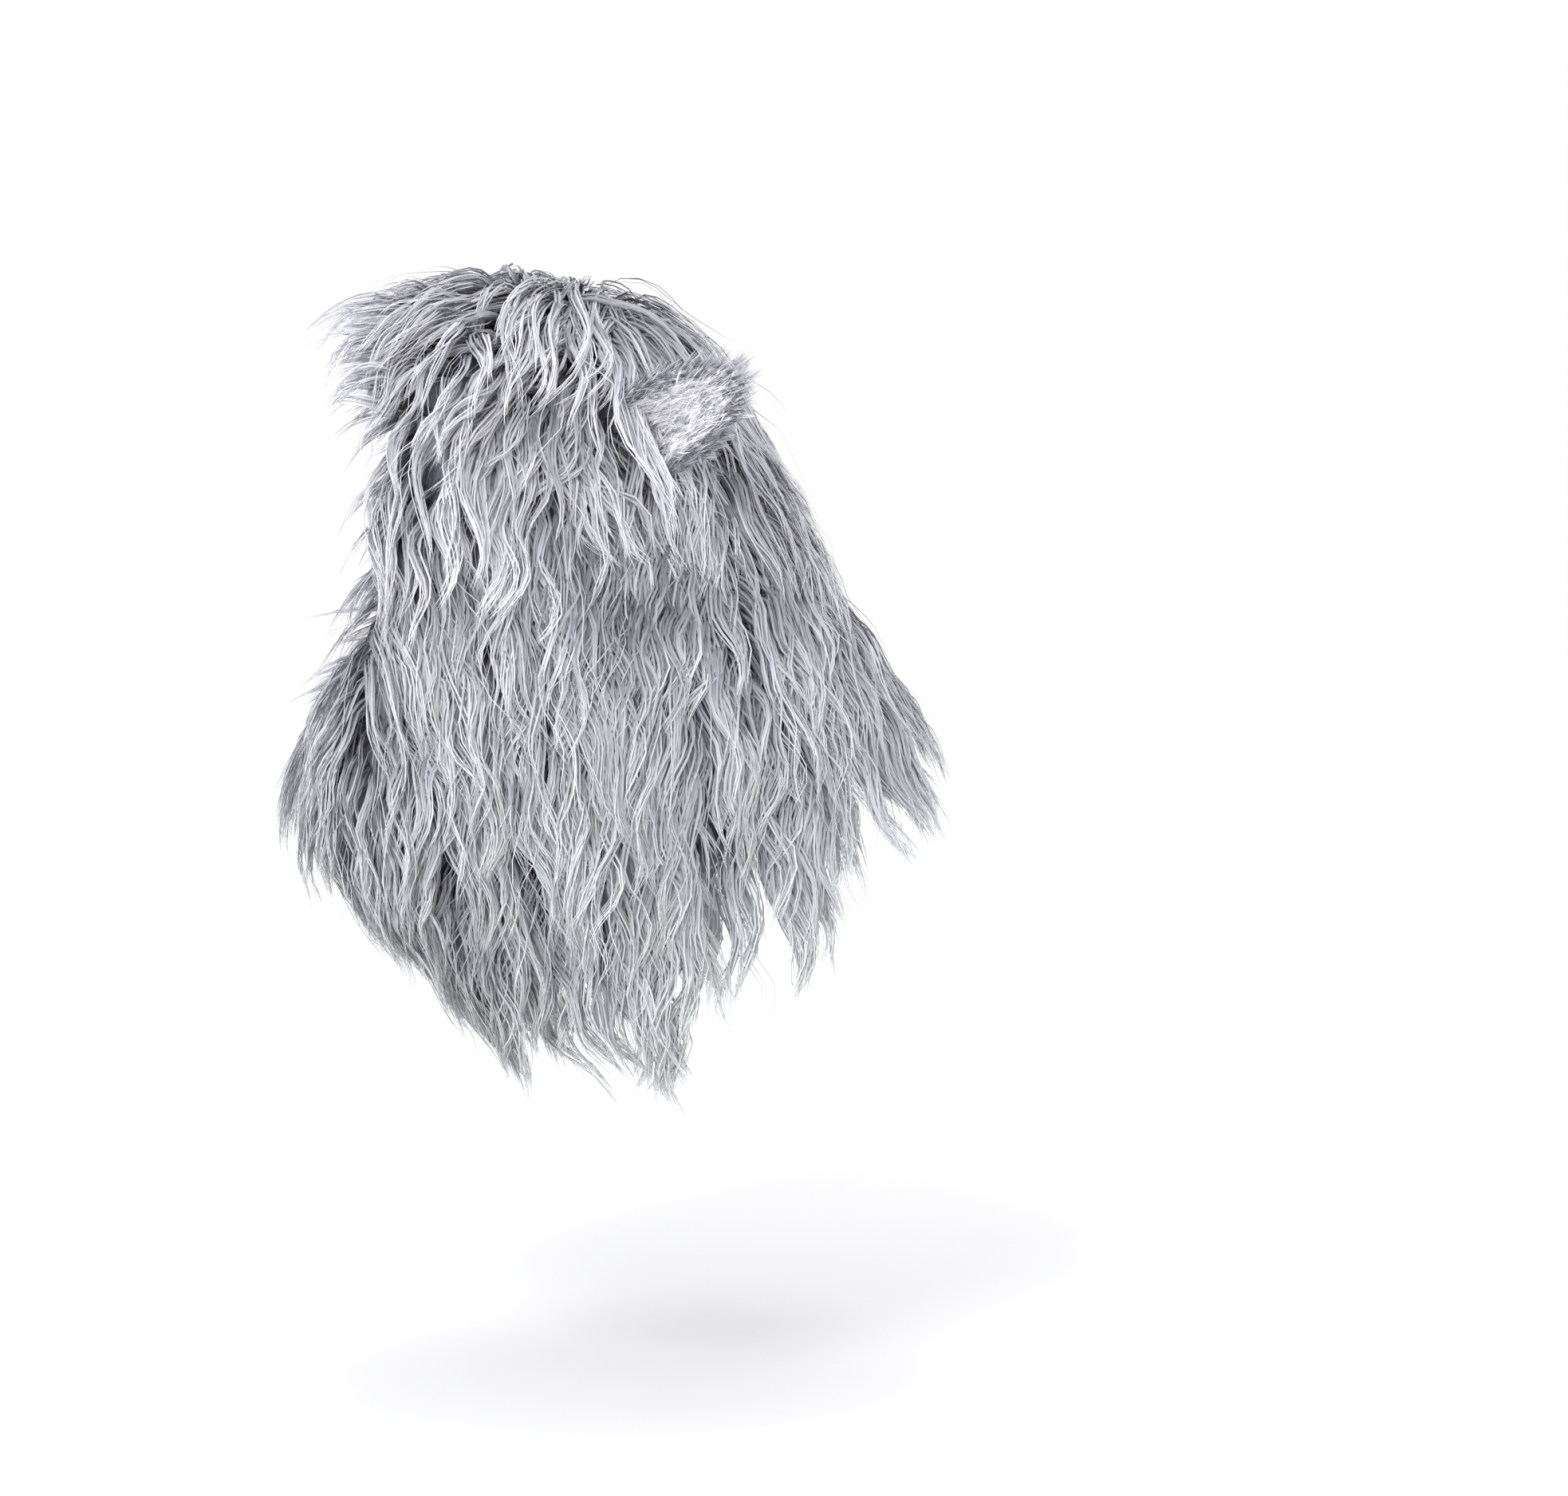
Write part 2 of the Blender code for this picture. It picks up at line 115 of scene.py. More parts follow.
DEPTH_SCATTER = (0.82, 1.06)
HEIGHT_PLACES = (0, 0.18, 0.5, 0.8, 1)  # along a lock, with its least and most height as shares of the fur's depth
LEAST_HEIGHT = (0.30, 0.62, 0.72, 0.66, 0.52)
MOST_HEIGHT = (0.30, 0.78, 0.92, 1.00, 1.08)
FRINGE_DROOPS = 0.85
CHEST_RISES = 0.22
BROW_FADE, BROW_REACH = 1.3, 0.26  # where the brow's and the chest's share fall off, along and round the hood
BROW_FROM, BROW_BLEND = 0.05, 0.5
CHEST_GAIN, CHEST_FROM, CHEST_FADE = 1.6, 0.3, 1.5
LIFT, CHEST_LIFT = 0.5, 0.45  # how far single locks rise from least to most height

# Ears, with the short pile that grows on them
EAR_LENGTH = 0.094
EAR_WIDTH = 0.052
EAR_CUP = 0.013
EAR_WALL = 0.005
LINING_WALL = 0.002
LINING_MARGIN = 0.006
EAR_SEAT = np.array((0.072, 0.062, -0.060))
EAR_POINTS = np.array((0.60, 0.66, 0.42))
EAR_FACES = np.array((0.79, -0.51, -0.33))
EAR_SUNK = 0.016  # how deep the leaf starts in the hood, which then trims it
EAR_ROOT_WIDTH = 0.80
EAR_WIDEST_AT = 0.40
EAR_ROUNDNESS = 2.2
EAR_TIP_CLOSES = 0.992
EAR_TIP_FLATTENS = 0.35
EAR_ROWS_TIPWARD = 1.5
EAR_ROWS, EAR_COLUMNS = 22, 18
EAR_INSET = 0.0005  # the rounded leaf is made this much narrower
FUZZ_TUFTS, FUZZ_LENGTH, FUZZ_RISE = 1500, 0.0125, 0.42
DOWN_TUFTS, DOWN_LENGTH, DOWN_RISE = 1100, 0.0110, 0.20
DOWN_TONES = 0.2  # how much the tufts of the lining differ in tone
PILE_LIES, PILE_SCATTER, PILE_CURLS, PILE_POINTS = 0.75, 0.22, 0.3, 4

# Hair
LOCKS = 2620
FACE_LOCKS = 230  # over the undercoat's edge round the face
CROWN_LOCKS = 220  # more of them round the parting
HEM_LOCKS = 170  # more of them along the neck hem
JAW_LOCKS = 70  # more of them where the cheeks meet the chest
CROWN_TURNS, JAW_TURNS = 0.42, (1.6, 2.35)  # where these three grow, round and along the hood
CROWN_PLACES, HEM_PLACES, JAW_PLACES = (0.20, 0.42), (0.82, 1.0), (0.0, 0.16)
TUFTS = 300  # the larger locks that the small ones gather into
STRAY_LOCKS = 700  # loose hairs, in threes
LOCK_POINTS = 12
HAIR_LENGTH = 0.110
FRINGE_LENGTH = 0.067
FACE_LOCK_LENGTH = 0.046
FACE_LOCK_OFF = 0.003  # it stays this far off the hood, at turns whose cosine lies in this range
FACE_LOCK_KEPT_OFF = (-0.5, 0.35)
FACE_LOCK_ROOTS = 0.02  # how far in they root, as a share of the hood's length
FACE_LOCK_WAYS = {"forward": 0.55, "outward": 0.50, "hang": 0.80, "hang_falls": 0.65, "scatter": 0.20}
FACE_LOCK_WEIGHT, CROWN_EXTRA_WEIGHT = 14.0, 4.0
CHIN_BELOW = -0.3  # the cosine of the turn below which they point straight forwards
TUFT_LONGER = 1.05
LONGEST, SHORTEST, CROWN_SHORTER, CROWN_REACH = 1.16, 0.80, 0.30, 0.07  # shares of HAIR_LENGTH, and a distance
WAVE_LENGTH = 0.062
WAVES_BEGIN, WAVES_OUT = 2.5, 0.35
TUFT_WAVE = 0.0045
LOCK_WAVES = (0.0015, 0.0050)
FACE_WAVES = (0.001, 0.004)
STRAY_WAVES = (0.002, 0.007)
TUFTING = (0.25, 0.85)  # how far each lock's tip is drawn to its tuft
TUFTING_CURVE = 1.3
TUFT_TONE = 0.6  # the share of a lock's tone that it has from its tuft
EAR_CLEARANCE, STRAY_CLEARANCE = 0.005, 0.004
STRAYS_FROM = np.array((-0.150, -0.138, -0.444))
STRAYS_TO = np.array((0.150, 0.262, 0.054))  # hairs that leave this box are left out
LOCK = {
    "strands": 11,
    "lock_width": 0.0050,
    "strand_width": 0.0012,
    "gather": 0.90,
    "uneven_tips": 0.012,
    "frizz": 0.009,
    "tilt": 0.9,
}
FACE_LOCK = {**LOCK, "gather": 0.85, "uneven_tips": 0.010, "seed": 41}
STRAY = {
    **LOCK,
    "strands": 3,
    "lock_width": 0.007,
    "strand_width": 0.0007,
    "gather": -0.4,
    "frizz": 0.016,
    "seed": 31,
}
PILE = {
    "strands": 3,
    "lock_width": 0.0016,
    "strand_width": 0.0005,
    "gather": 0.5,
    "uneven_tips": 0.002,
    "frizz": 0.003,
    "tilt": 0.4,
    "seed": 21,
}
MANE_PIECES = ("crown", "back", "chest", "throat", "cheek_left", "side_left", "cheek_right", "side_right")

# Each strand
GATHER_CURVE = 1.6
FRIZZ_SCALE, FRIZZ_SPREAD = 28.0, 7.0
TAPER_CURVE, TIP_WIDTH = 3.0, 0.08
WIDTH_SCATTER = 0.25

# Colours
STRAND_TONES, LOCK_TONES = 0.20, 0.24  # how much single strands and whole locks differ
# Of a fibre's root, body and tip, and of its tip lower down; the dark root is painted shade deep in the pile
SILVER_HAIR_AND_ROOT_SHADE = (0.095, 0.098, 0.120), (0.39, 0.393, 0.43), (0.67, 0.67, 0.71), (0.54, 0.558, 0.56)
EAR_FUZZ_AND_ROOT_SHADE = (0.12, 0.12, 0.15), (0.40, 0.40, 0.45), (0.70, 0.70, 0.75), (0.70, 0.70, 0.75)
LINING_DOWN = (0.88, 0.88, 0.90), (0.92, 0.92, 0.94), (0.95, 0.95, 0.97), (0.95, 0.95, 0.97)
EAR_CLOTH = (0.14, 0.14, 0.17), (0.36, 0.36, 0.40)
LINING_CLOTH = (0.86, 0.86, 0.88), (0.92, 0.92, 0.94)
TIPS_CHANGE_Z = (-0.05, -0.36)
KNIT_LOOP, KNIT_ROW, KNIT_RIB = 0.0022, 0.0018, 0.0066

# Studio
FLOOR_Z, FLOOR_HALF = -0.61, 6.0
CAMERA_AT, CAMERA_LOOKS_AT = (2.62, 0.16, 0.02), (0, 0.16, -0.239)
CAMERA_LENS, CAMERA_SENSOR = 100, 36
LIGHTS_AIM_AT = (0, 0.06, -0.18)
LIGHTS = (  # name, place, size and power
    ("key", (2.0, -0.7, 1.8), 1.0, 36.0),
    ("front", (0.9, -2.0, 0.2), 1.2, 26.0),
    ("top", (-0.8, 0.3, 2.2), 1.6, 20.0),
)

random = np.random.default_rng(11)  # the order of its draws decides where every lock grows


def unit(vectors):
    return vectors / np.maximum(np.linalg.norm(vectors, axis=-1, keepdims=True), 1e-12)


def ring_values(along):
    """The ring table's columns at places along the hood, on smooth lines that go on straight past both ends."""
    spans = len(RING_TABLE) - 1
    padded = np.vstack((2 * RING_TABLE[0] - RING_TABLE[1], RING_TABLE, 2 * RING_TABLE[-1] - RING_TABLE[-2]))
    at = np.clip(along, 0.0, 1.0) * spans
    first = np.minimum(at.astype(int), spans - 1)
    t = (at - first)[:, None]
    before, here, there, after = (padded[first + k] for k in range(4))
    smooth = 0.5 * (
        2 * here
        + (there - before) * t
        + (2 * before - 5 * here + 4 * there - after) * t**2
        + (3 * here - before - 3 * there + after) * t**3
    )
    past = (along - np.clip(along, 0.0, 1.0))[:, None] * spans
    end_slope = np.where(past < 0, RING_TABLE[1] - RING_TABLE[0], RING_TABLE[-1] - RING_TABLE[-2])
    return smooth + end_slope * past


def hood_points(along, turn):
    """Points on the hood's outer face: along is 0 at the face ring and 1 at the hem, turn is 0 at the crown."""
    along, turn = np.broadcast_arrays(np.asarray(along, float), np.asarray(turn, float))
    shape = along.shape
    values = dict(zip(RING_COLUMNS, ring_values(along.ravel()).T))
    turn = turn.ravel()
    crown = np.stack((0 * turn, values["crown_y"] * HOOD_REACH, values["crown_z"] * HOOD_DROP), -1)
    throat = np.stack((0 * turn, values["throat_y"] * HOOD_REACH, values["throat_z"] * HOOD_DROP), -1)
    points = (crown + throat) / 2 + (crown - throat) / 2 * np.cos(turn)[:, None]
    points[:, 0] += values["half_width"] * HOOD_WIDTH / 2 * np.sin(turn)
    points[:, 2] += CLOTH - values["side_drop"] * HOOD_DROP * np.sin(turn) ** 2
    return points.reshape(*shape, 3)


def hood_normals(along, turn):
    lengthwise = hood_points(along + NEAR, turn) - hood_points(along - NEAR, turn)
    round_the_ring = hood_points(along, turn + NEAR) - hood_points(along, turn - NEAR)
    return unit(np.cross(round_the_ring, lengthwise))


def fur_depth(along, turn):
    """How far the fur stands off the hood: less round the ears."""
    up = np.cos(turn)
    top = CROWN_DEPTH + (NAPE_DEPTH - CROWN_DEPTH) * along
    towards = np.where(up > 0, top, CHEST_DEPTH)
    depth = SIDE_DEPTH + (towards - SIDE_DEPTH) * up**2
    place = hood_points(along, turn)
    place[..., 0] = np.abs(place[..., 0])
    from_ear = np.linalg.norm(place - EAR_SEAT, axis=-1) / EAR_HOLLOW
    return depth * (1 - EAR_HOLLOW_SHARE * np.exp(-from_ear * from_ear))


def past_parting(points):
    """How far points lie from the parting, as vectors from its nearest place."""
    away = points - PARTING
    away[..., 0] -= np.clip(points[..., 0], -PARTING_REACH, PARTING_REACH)
    return away


def undercoat_depth(along, turn):
    """Thinner at both edges and along the parting, where the locks spread."""
    fullness = np.clip(np.minimum(along, 1 - along) / EDGE_REACH, 0.0, 1.0)
    edge = EDGE_SHARE + (1 - EDGE_SHARE) * np.sin(fullness * math.pi / 2)
    away = np.linalg.norm(past_parting(hood_points(along, turn)), axis=-1) / PARTING_WIDTH
    return fur_depth(along, turn) * UNDERCOAT_SHARE * edge * (1 - PARTING_DIP * np.exp(-away * away))


def fur_flow(points, normals):
    """The way the fur lies at points of the hood, along its surface."""
    sweep = unit(past_parting(points))
    low = np.clip((SIDES_BEGIN_Z - points[:, 2]) / SIDES_BLEND, 0.0, 1.0)
    sweep[:, 1] *= 1 - SIDE_FALLS * low * np.clip(np.abs(normals[:, 0]) * SIDE_FACING, 0.0, 1.0)
    sweep = sweep + DOWN * SIDE_SWEEP
    behind = np.clip((points[:, 1] - BACK_BEGINS_Y) / BACK_BLEND + 0.5, 0.0, 1.0)
    sweep = sweep + BACK_SWEEP * behind[:, None]
    return unit(sweep - normals * (sweep * normals).sum(-1, keepdims=True))


def mesh_object(name, points, faces, smooth=True):
    mesh = bpy.data.meshes.new(name)
    mesh.from_pydata([tuple(p) for p in points], [], [tuple(int(i) for i in f) for f in faces])
    if smooth:
        mesh.shade_smooth()
    obj = bpy.data.objects.new(name, mesh)
    bpy.context.scene.collection.objects.link(obj)
    return obj


def grid_faces(rows, columns, closed):
    """Quads of a grid of points, joined round its columns where it is closed."""
    faces = []
    for i in range(rows - 1):
        for k in range(columns if closed else columns - 1):
            a, b = i * columns + k, i * columns + (k + 1) % columns
            faces.append((a, b, b + columns, a + columns))
    return faces


def sleeve_grid(rows, columns):
    """Places along and round the hood for a grid of points."""
    along, turn = np.linspace(0, 1, rows), np.linspace(0, 2 * math.pi, columns, endpoint=False)
    return along[:, None] + 0 * turn, turn[None, :] + 0 * along[:, None]


def sleeve_faces(rows, columns, flipped=False):
    """Quads of a double wall, the outer grid's points before the inner one's, closed along both end rings."""
    total = rows * columns
    faces = [face[::-1] if flipped else face for face in grid_faces(rows, columns, True)]
    faces += [tuple(i + total for i in face[::-1]) for face in faces]
    for ring in (0, rows - 1):
        for k in range(columns):
            a, b = ring * columns + k, ring * columns + (k + 1) % columns
            if flipped and ring == 0:
                a, b = b, a
            faces.append((a, b, b + total, a + total))
    return faces


def settled(obj):
    """The object with its modifiers applied to its mesh."""
    graph = bpy.context.evaluated_depsgraph_get()
    mesh = bpy.data.meshes.new_from_object(obj.evaluated_get(graph), depsgraph=graph)
    obj.modifiers.clear()
    obj.data = mesh
    return obj


def soft_noise(points, scale, seed):
    """A smooth vector from -1 to 1 at each point, from a few crossed waves."""
    waves = np.random.default_rng(seed)
    found = np.zeros((len(points), 3))
    for _ in range(5):
        ways = unit(waves.normal(size=(3, 3))) * scale * waves.uniform(0.6, 1.6, (3, 1))
        phases = waves.uniform(0, 2 * math.pi, 3)
        found += np.sin(points @ ways.T * 2 * math.pi + phases)
    return found / 3


# Node helpers

def add_node(tree, kind, settings=None, inputs=None):
    """A node with its settings, and its inputs set to values or linked to other nodes' sockets."""
    node = tree.nodes.new(kind)
    for key, value in (settings or {}).items():
        setattr(node, key, value)
    for key, value in (inputs or {}).items():
        if isinstance(value, bpy.types.NodeSocket):
            tree.links.new(value, node.inputs[key])
        else:
            node.inputs[key].default_value = value
    return node


def do_math(tree, operation, a, b=0.0, c=0.0):
    return add_node(tree, "ShaderNodeMath", {"operation": operation}, {0: a, 1: b, 2: c}).outputs[0]


def do_vector(tree, operation, a, b=(0, 0, 0), scale=None):
    inputs = {0: a, 1: b}
    if scale is not None:
        inputs["Scale"] = scale
    node = add_node(tree, "ShaderNodeVectorMath", {"operation": operation}, inputs)
    return node.outputs["Value" if operation == "LENGTH" else "Vector"]


# Strands of hair

def read_attribute(tree, name, kind):
    return add_node(tree, "GeometryNodeInputNamedAttribute", {"data_type": kind}, {"Name": name}).outputs["Attribute"]


def per_strand(tree, value, kind):
    return add_node(tree, "GeometryNodeFieldOnDomain", {"data_type": kind, "domain": "CURVE"}, {0: value}).outputs[0]


def strand_tree():
    """Geometry Nodes that turn each guide line into a lock of flat tapering strands."""
    tree = bpy.data.node_groups.new("Strands of a lock", "GeometryNodeTree")
    interface = tree.interface
    interface.new_socket("Guides", in_out="INPUT", socket_type="NodeSocketGeometry")
    for name, kind in (
        ("Strands", "Int"),
        ("Lock width", "Float"),
        ("Strand width", "Float"),
        ("Gather", "Float"),
        ("Uneven tips", "Float"),
        ("Frizz", "Float"),
        ("Tilt", "Float"),
        ("Seed", "Int"),
        ("Finish", "Material"),
    ):
        interface.new_socket(name, in_out="INPUT", socket_type="NodeSocket" + kind)
    interface.new_socket("Hair", in_out="OUTPUT", socket_type="NodeSocketGeometry")
    given = tree.nodes.new("NodeGroupInput").outputs

    lines = add_node(tree, "GeometryNodeMeshToCurve", None, {"Mesh": given["Guides"]}).outputs["Curve"]
    strands = add_node(
        tree, "GeometryNodeDuplicateElements", {"domain": "SPLINE"}, {"Geometry": lines, "Amount": given["Strands"]}
    ).outputs["Geometry"]

    place = read_attribute(tree, "place", "FLOAT")
    out = read_attribute(tree, "out", "FLOAT_VECTOR")
    size = read_attribute(tree, "size", "FLOAT")
    tangent = add_node(tree, "GeometryNodeInputTangent").outputs[0]
    side = do_vector(tree, "NORMALIZE", do_vector(tree, "CROSS_PRODUCT", tangent, out))
    index = add_node(tree, "GeometryNodeInputIndex").outputs[0]
    draw = add_node(
        tree,
        "FunctionNodeRandomValue",
        {"data_type": "FLOAT_VECTOR"},
        {"Min": (-1, -1, -1), "Max": (1, 1, 1), "ID": index, "Seed": given["Seed"]},
    ).outputs[0]
    own = add_node(tree, "ShaderNodeSeparateXYZ", None, {0: per_strand(tree, draw, "FLOAT_VECTOR")}).outputs

    gathered = do_math(tree, "MULTIPLY", do_math(tree, "POWER", place, GATHER_CURVE), given["Gather"])
    spread = do_math(tree, "MULTIPLY", do_math(tree, "SUBTRACT", 1.0, gathered), given["Lock width"])
    spread = do_math(tree, "MULTIPLY", spread, size)
    sideways = do_vector(tree, "SCALE", side, scale=do_math(tree, "MULTIPLY", own[0], spread))
    outwards = do_vector(tree, "SCALE", out, scale=do_math(tree, "MULTIPLY", own[1], spread))
    ahead = do_math(tree, "MULTIPLY", do_math(tree, "MULTIPLY", own[2], given["Uneven tips"]), place)
    onwards = do_vector(tree, "SCALE", tangent, scale=ahead)
    noise = add_node(
        tree,
        "ShaderNodeTexNoise",
        {"noise_dimensions": "4D"},
        {"W": do_math(tree, "MULTIPLY", own[0], FRIZZ_SPREAD), "Scale": FRIZZ_SCALE, "Detail": 1.0},
    ).outputs["Color"]
    noise = do_vector(tree, "SUBTRACT", noise, (0.5, 0.5, 0.5))
    frizz = do_vector(tree, "SCALE", noise, scale=do_math(tree, "MULTIPLY", place, given["Frizz"]))
    moved = do_vector(tree, "ADD", do_vector(tree, "ADD", sideways, outwards), do_vector(tree, "ADD", onwards, frizz))
    strands = add_node(tree, "GeometryNodeSetPosition", None, {"Geometry": strands, "Offset": moved}).outputs[0]

    tilt = do_vector(tree, "SCALE", side, scale=do_math(tree, "MULTIPLY", own[2], given["Tilt"]))
    strands = add_node(
        tree,
        "GeometryNodeSetCurveNormal",
        {"mode": "FREE"},
        {"Curve": strands, "Normal": do_vector(tree, "NORMALIZE", do_vector(tree, "ADD", out, tilt))},
    ).outputs[0]
    taper = do_math(tree, "SUBTRACT", 1.0, do_math(tree, "POWER", place, TAPER_CURVE))
    taper = do_math(tree, "ADD", do_math(tree, "MULTIPLY", taper, 1 - TIP_WIDTH), TIP_WIDTH)
    width = do_math(tree, "MULTIPLY", taper, given["Strand width"])
    width = do_math(tree, "MULTIPLY", width, do_math(tree, "MULTIPLY_ADD", own[1], WIDTH_SCATTER, 1.0))
    strands = add_node(
        tree,
        "GeometryNodeStoreNamedAttribute",
        {"data_type": "FLOAT", "domain": "CURVE"},
        {"Geometry": strands, "Name": "strand_tone", "Value": own[2]},
    ).outputs[0]
    profile = add_node(
        tree, "GeometryNodeCurvePrimitiveLine", None, {"Start": (0, -0.5, 0), "End": (0, 0.5, 0)}
    ).outputs[0]
    ribbons = add_node(
        tree, "GeometryNodeCurveToMesh", None, {"Curve": strands, "Profile Curve": profile, "Scale": width}
    ).outputs[0]
    ribbons = add_node(tree, "GeometryNodeSetShadeSmooth", None, {"Geometry": ribbons}).outputs[0]
    ribbons = add_node(tree, "GeometryNodeRealizeInstances", None, {"Geometry": ribbons}).outputs[0]
    ribbons = add_node(
        tree, "GeometryNodeSetMaterial", None, {"Geometry": ribbons, "Material": given["Finish"]}
    ).outputs[0]
    tree.links.new(ribbons, add_node(tree, "NodeGroupOutput").inputs["Hair"])
    return tree


def guide_object(name, paths, out, size, tone):
    """Guide lines as a mesh of loose edges, with what the strands read from them."""
    count, per_line = paths.shape[:2]
    first = np.arange(count * per_line).reshape(count, per_line)
    edges = np.stack((first[:, :-1], first[:, 1:]), -1).reshape(-1, 2)
    mesh = bpy.data.meshes.new(name)
    mesh.vertices.add(count * per_line)
    mesh.vertices.foreach_set("co", paths.reshape(-1).astype(np.float32))
    mesh.edges.add(len(edges))
    mesh.edges.foreach_set("vertices", edges.reshape(-1).astype(np.int32))
    spread = {
        "place": np.broadcast_to(np.linspace(0, 1, per_line), (count, per_line)),
        "size": np.repeat(size, per_line),
        "lock_tone": np.repeat(tone, per_line),
    }
    for key, values in spread.items():
        mesh.attributes.new(key, "FLOAT", "POINT").data.foreach_set("value", values.reshape(-1).astype(np.float32))
    mesh.attributes.new("out", "FLOAT_VECTOR", "POINT").data.foreach_set("vector", out.reshape(-1).astype(np.float32))
    mesh.update()
    obj = bpy.data.objects.new(name, mesh)
    bpy.context.scene.collection.objects.link(obj)
    return obj


def grow_hair(name, guides, tree, finish, slot, **values):
    """Runs the strand tree on guides and keeps the result as a plain mesh."""
    obj = guide_object(name, *guides)
    grown = obj.modifiers.new("Strands", "NODES")
    grown.node_group = tree
    inputs = {item.name: item.identifier for item in tree.interface.items_tree if item.in_out == "INPUT"}
    for key, value in values.items():
        grown[inputs[key.replace("_", " ").capitalize()]] = value
    grown[inputs["Finish"]] = finish
    obj = settled(obj)
    for spare in ("out", "size"):
        held = obj.data.attributes.get(spare)
        if held:
            obj.data.attributes.remove(held)
    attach(obj, "root")
    return obj


# Guide lines

def scatter_on_hood(count):
    """Places on the hood, spread evenly by area."""
    tries = count * 6  # enough for those that are dropped
    along, turn = random.uniform(0.0, 1.0, tries), random.uniform(0, 2 * math.pi, tries)
    lengthwise = hood_points(along + NEAR, turn) - hood_points(along, turn)
    round_the_ring = hood_points(along, turn + NEAR) - hood_points(along, turn)
    area = np.linalg.norm(np.cross(lengthwise, round_the_ring), axis=-1)
    kept = np.flatnonzero(random.uniform(0, 1, tries) < area / area.max())[:count]
    return along[kept], turn[kept]


def hood_surface():
    """The hood's outer face, carried on past both edges, to find how high a point lies over it."""
    along = np.linspace(-LIES_PAST, 1 + LIES_PAST, SURFACE_ROWS)
    turn = np.linspace(0, 2 * math.pi, SURFACE_COLUMNS, endpoint=False)
    points = hood_points(along[:, None], turn[None, :]).reshape(-1, 3)
    return BVHTree.FromPolygons([Vector(p) for p in points], grid_faces(SURFACE_ROWS, SURFACE_COLUMNS, True))


def brow_share(along, turn):
    """1 on the brow's edge of the face opening, falling to 0 behind it and at its sides."""
    return np.clip(BROW_FADE - along / BROW_REACH, 0, 1) * np.clip((np.cos(turn) - BROW_FROM) / BROW_BLEND, 0, 1)


def chest_share(along, turn):
    """1 on the chest near the face opening, falling to 0 at the sides and the hem."""
    low = np.clip(-np.cos(turn) * CHEST_GAIN - CHEST_FROM, 0, 1)
    return low * np.clip(CHEST_FADE - CHEST_FADE * along, 0, 1)


def hair_length(along, turn):
    """Shorter over the brow, so that the face stays open."""
    return HAIR_LENGTH + (FRINGE_LENGTH - HAIR_LENGTH) * brow_share(along, turn)


def trace(along, turn, length, surface):
    """Guide lines from the hood's surface: out through the fur, over it and down."""
    roots, normals = hood_points(along, turn), hood_normals(along, turn)
    depth = fur_depth(along, turn) * random.uniform(*DEPTH_SCATTER, len(along))
    whorl = np.exp(-((np.linalg.norm(past_parting(roots) * (1, 1, WHORL_FLATTENS), axis=-1) / WHORL) ** 2))
    twist = soft_noise(roots, BEND_SCALE, BEND_SEED) * BEND
    twist = twist + random.normal(0, 1, roots.shape) * (CROSSING + whorl[:, None])
    flow = fur_flow(roots, normals)
    direction = unit(flow + twist - normals * (twist * normals).sum(-1, keepdims=True))
    brow, chest = brow_share(along, turn), chest_share(along, turn)
    weight = (LOCK_WEIGHT + (FRINGE_WEIGHT - LOCK_WEIGHT) * brow + (CHEST_WEIGHT - LOCK_WEIGHT) * chest)[:, None]
    places = np.linspace(0, 1, LOCK_POINTS)
    least = np.interp(places, HEIGHT_PLACES, LEAST_HEIGHT)
    most = np.interp(places, HEIGHT_PLACES, MOST_HEIGHT)
    lift = random.uniform(0.0, 1.0, len(along)) ** (1.5 - chest)
    points = roots.copy()
    path = np.zeros((len(along), LOCK_POINTS, 3))
    out = np.zeros_like(path)
    for k in range(LOCK_POINTS):
        step = (length / (LOCK_POINTS - 1))[:, None] if k else 0 * length[:, None]
        points = points + direction * step
        for i, point in enumerate(points):
            nearest, outward, _, _ = surface.find_nearest(Vector(point))
            away = Vector(point) - nearest
            height = away.length if away.dot(outward) > 0 else 0.0
            way = away.normalized() if height > 1e-4 else outward
            low = least[k] * depth[i] * (1 - FRINGE_DROOPS * brow[i] * places[k])
            high = most[k] * depth[i] * (1 + CHEST_RISES * chest[i] * places[k])
            low = low + (high - low) * lift[i] * (LIFT + CHEST_LIFT * chest[i])
            points[i] = nearest + way * min(max(height, low), high)
            out[i, k] = way
        if k:
            direction = unit(unit(points - path[:, k - 1]) + DOWN * weight * step)
        path[:, k] = points
    return path, out


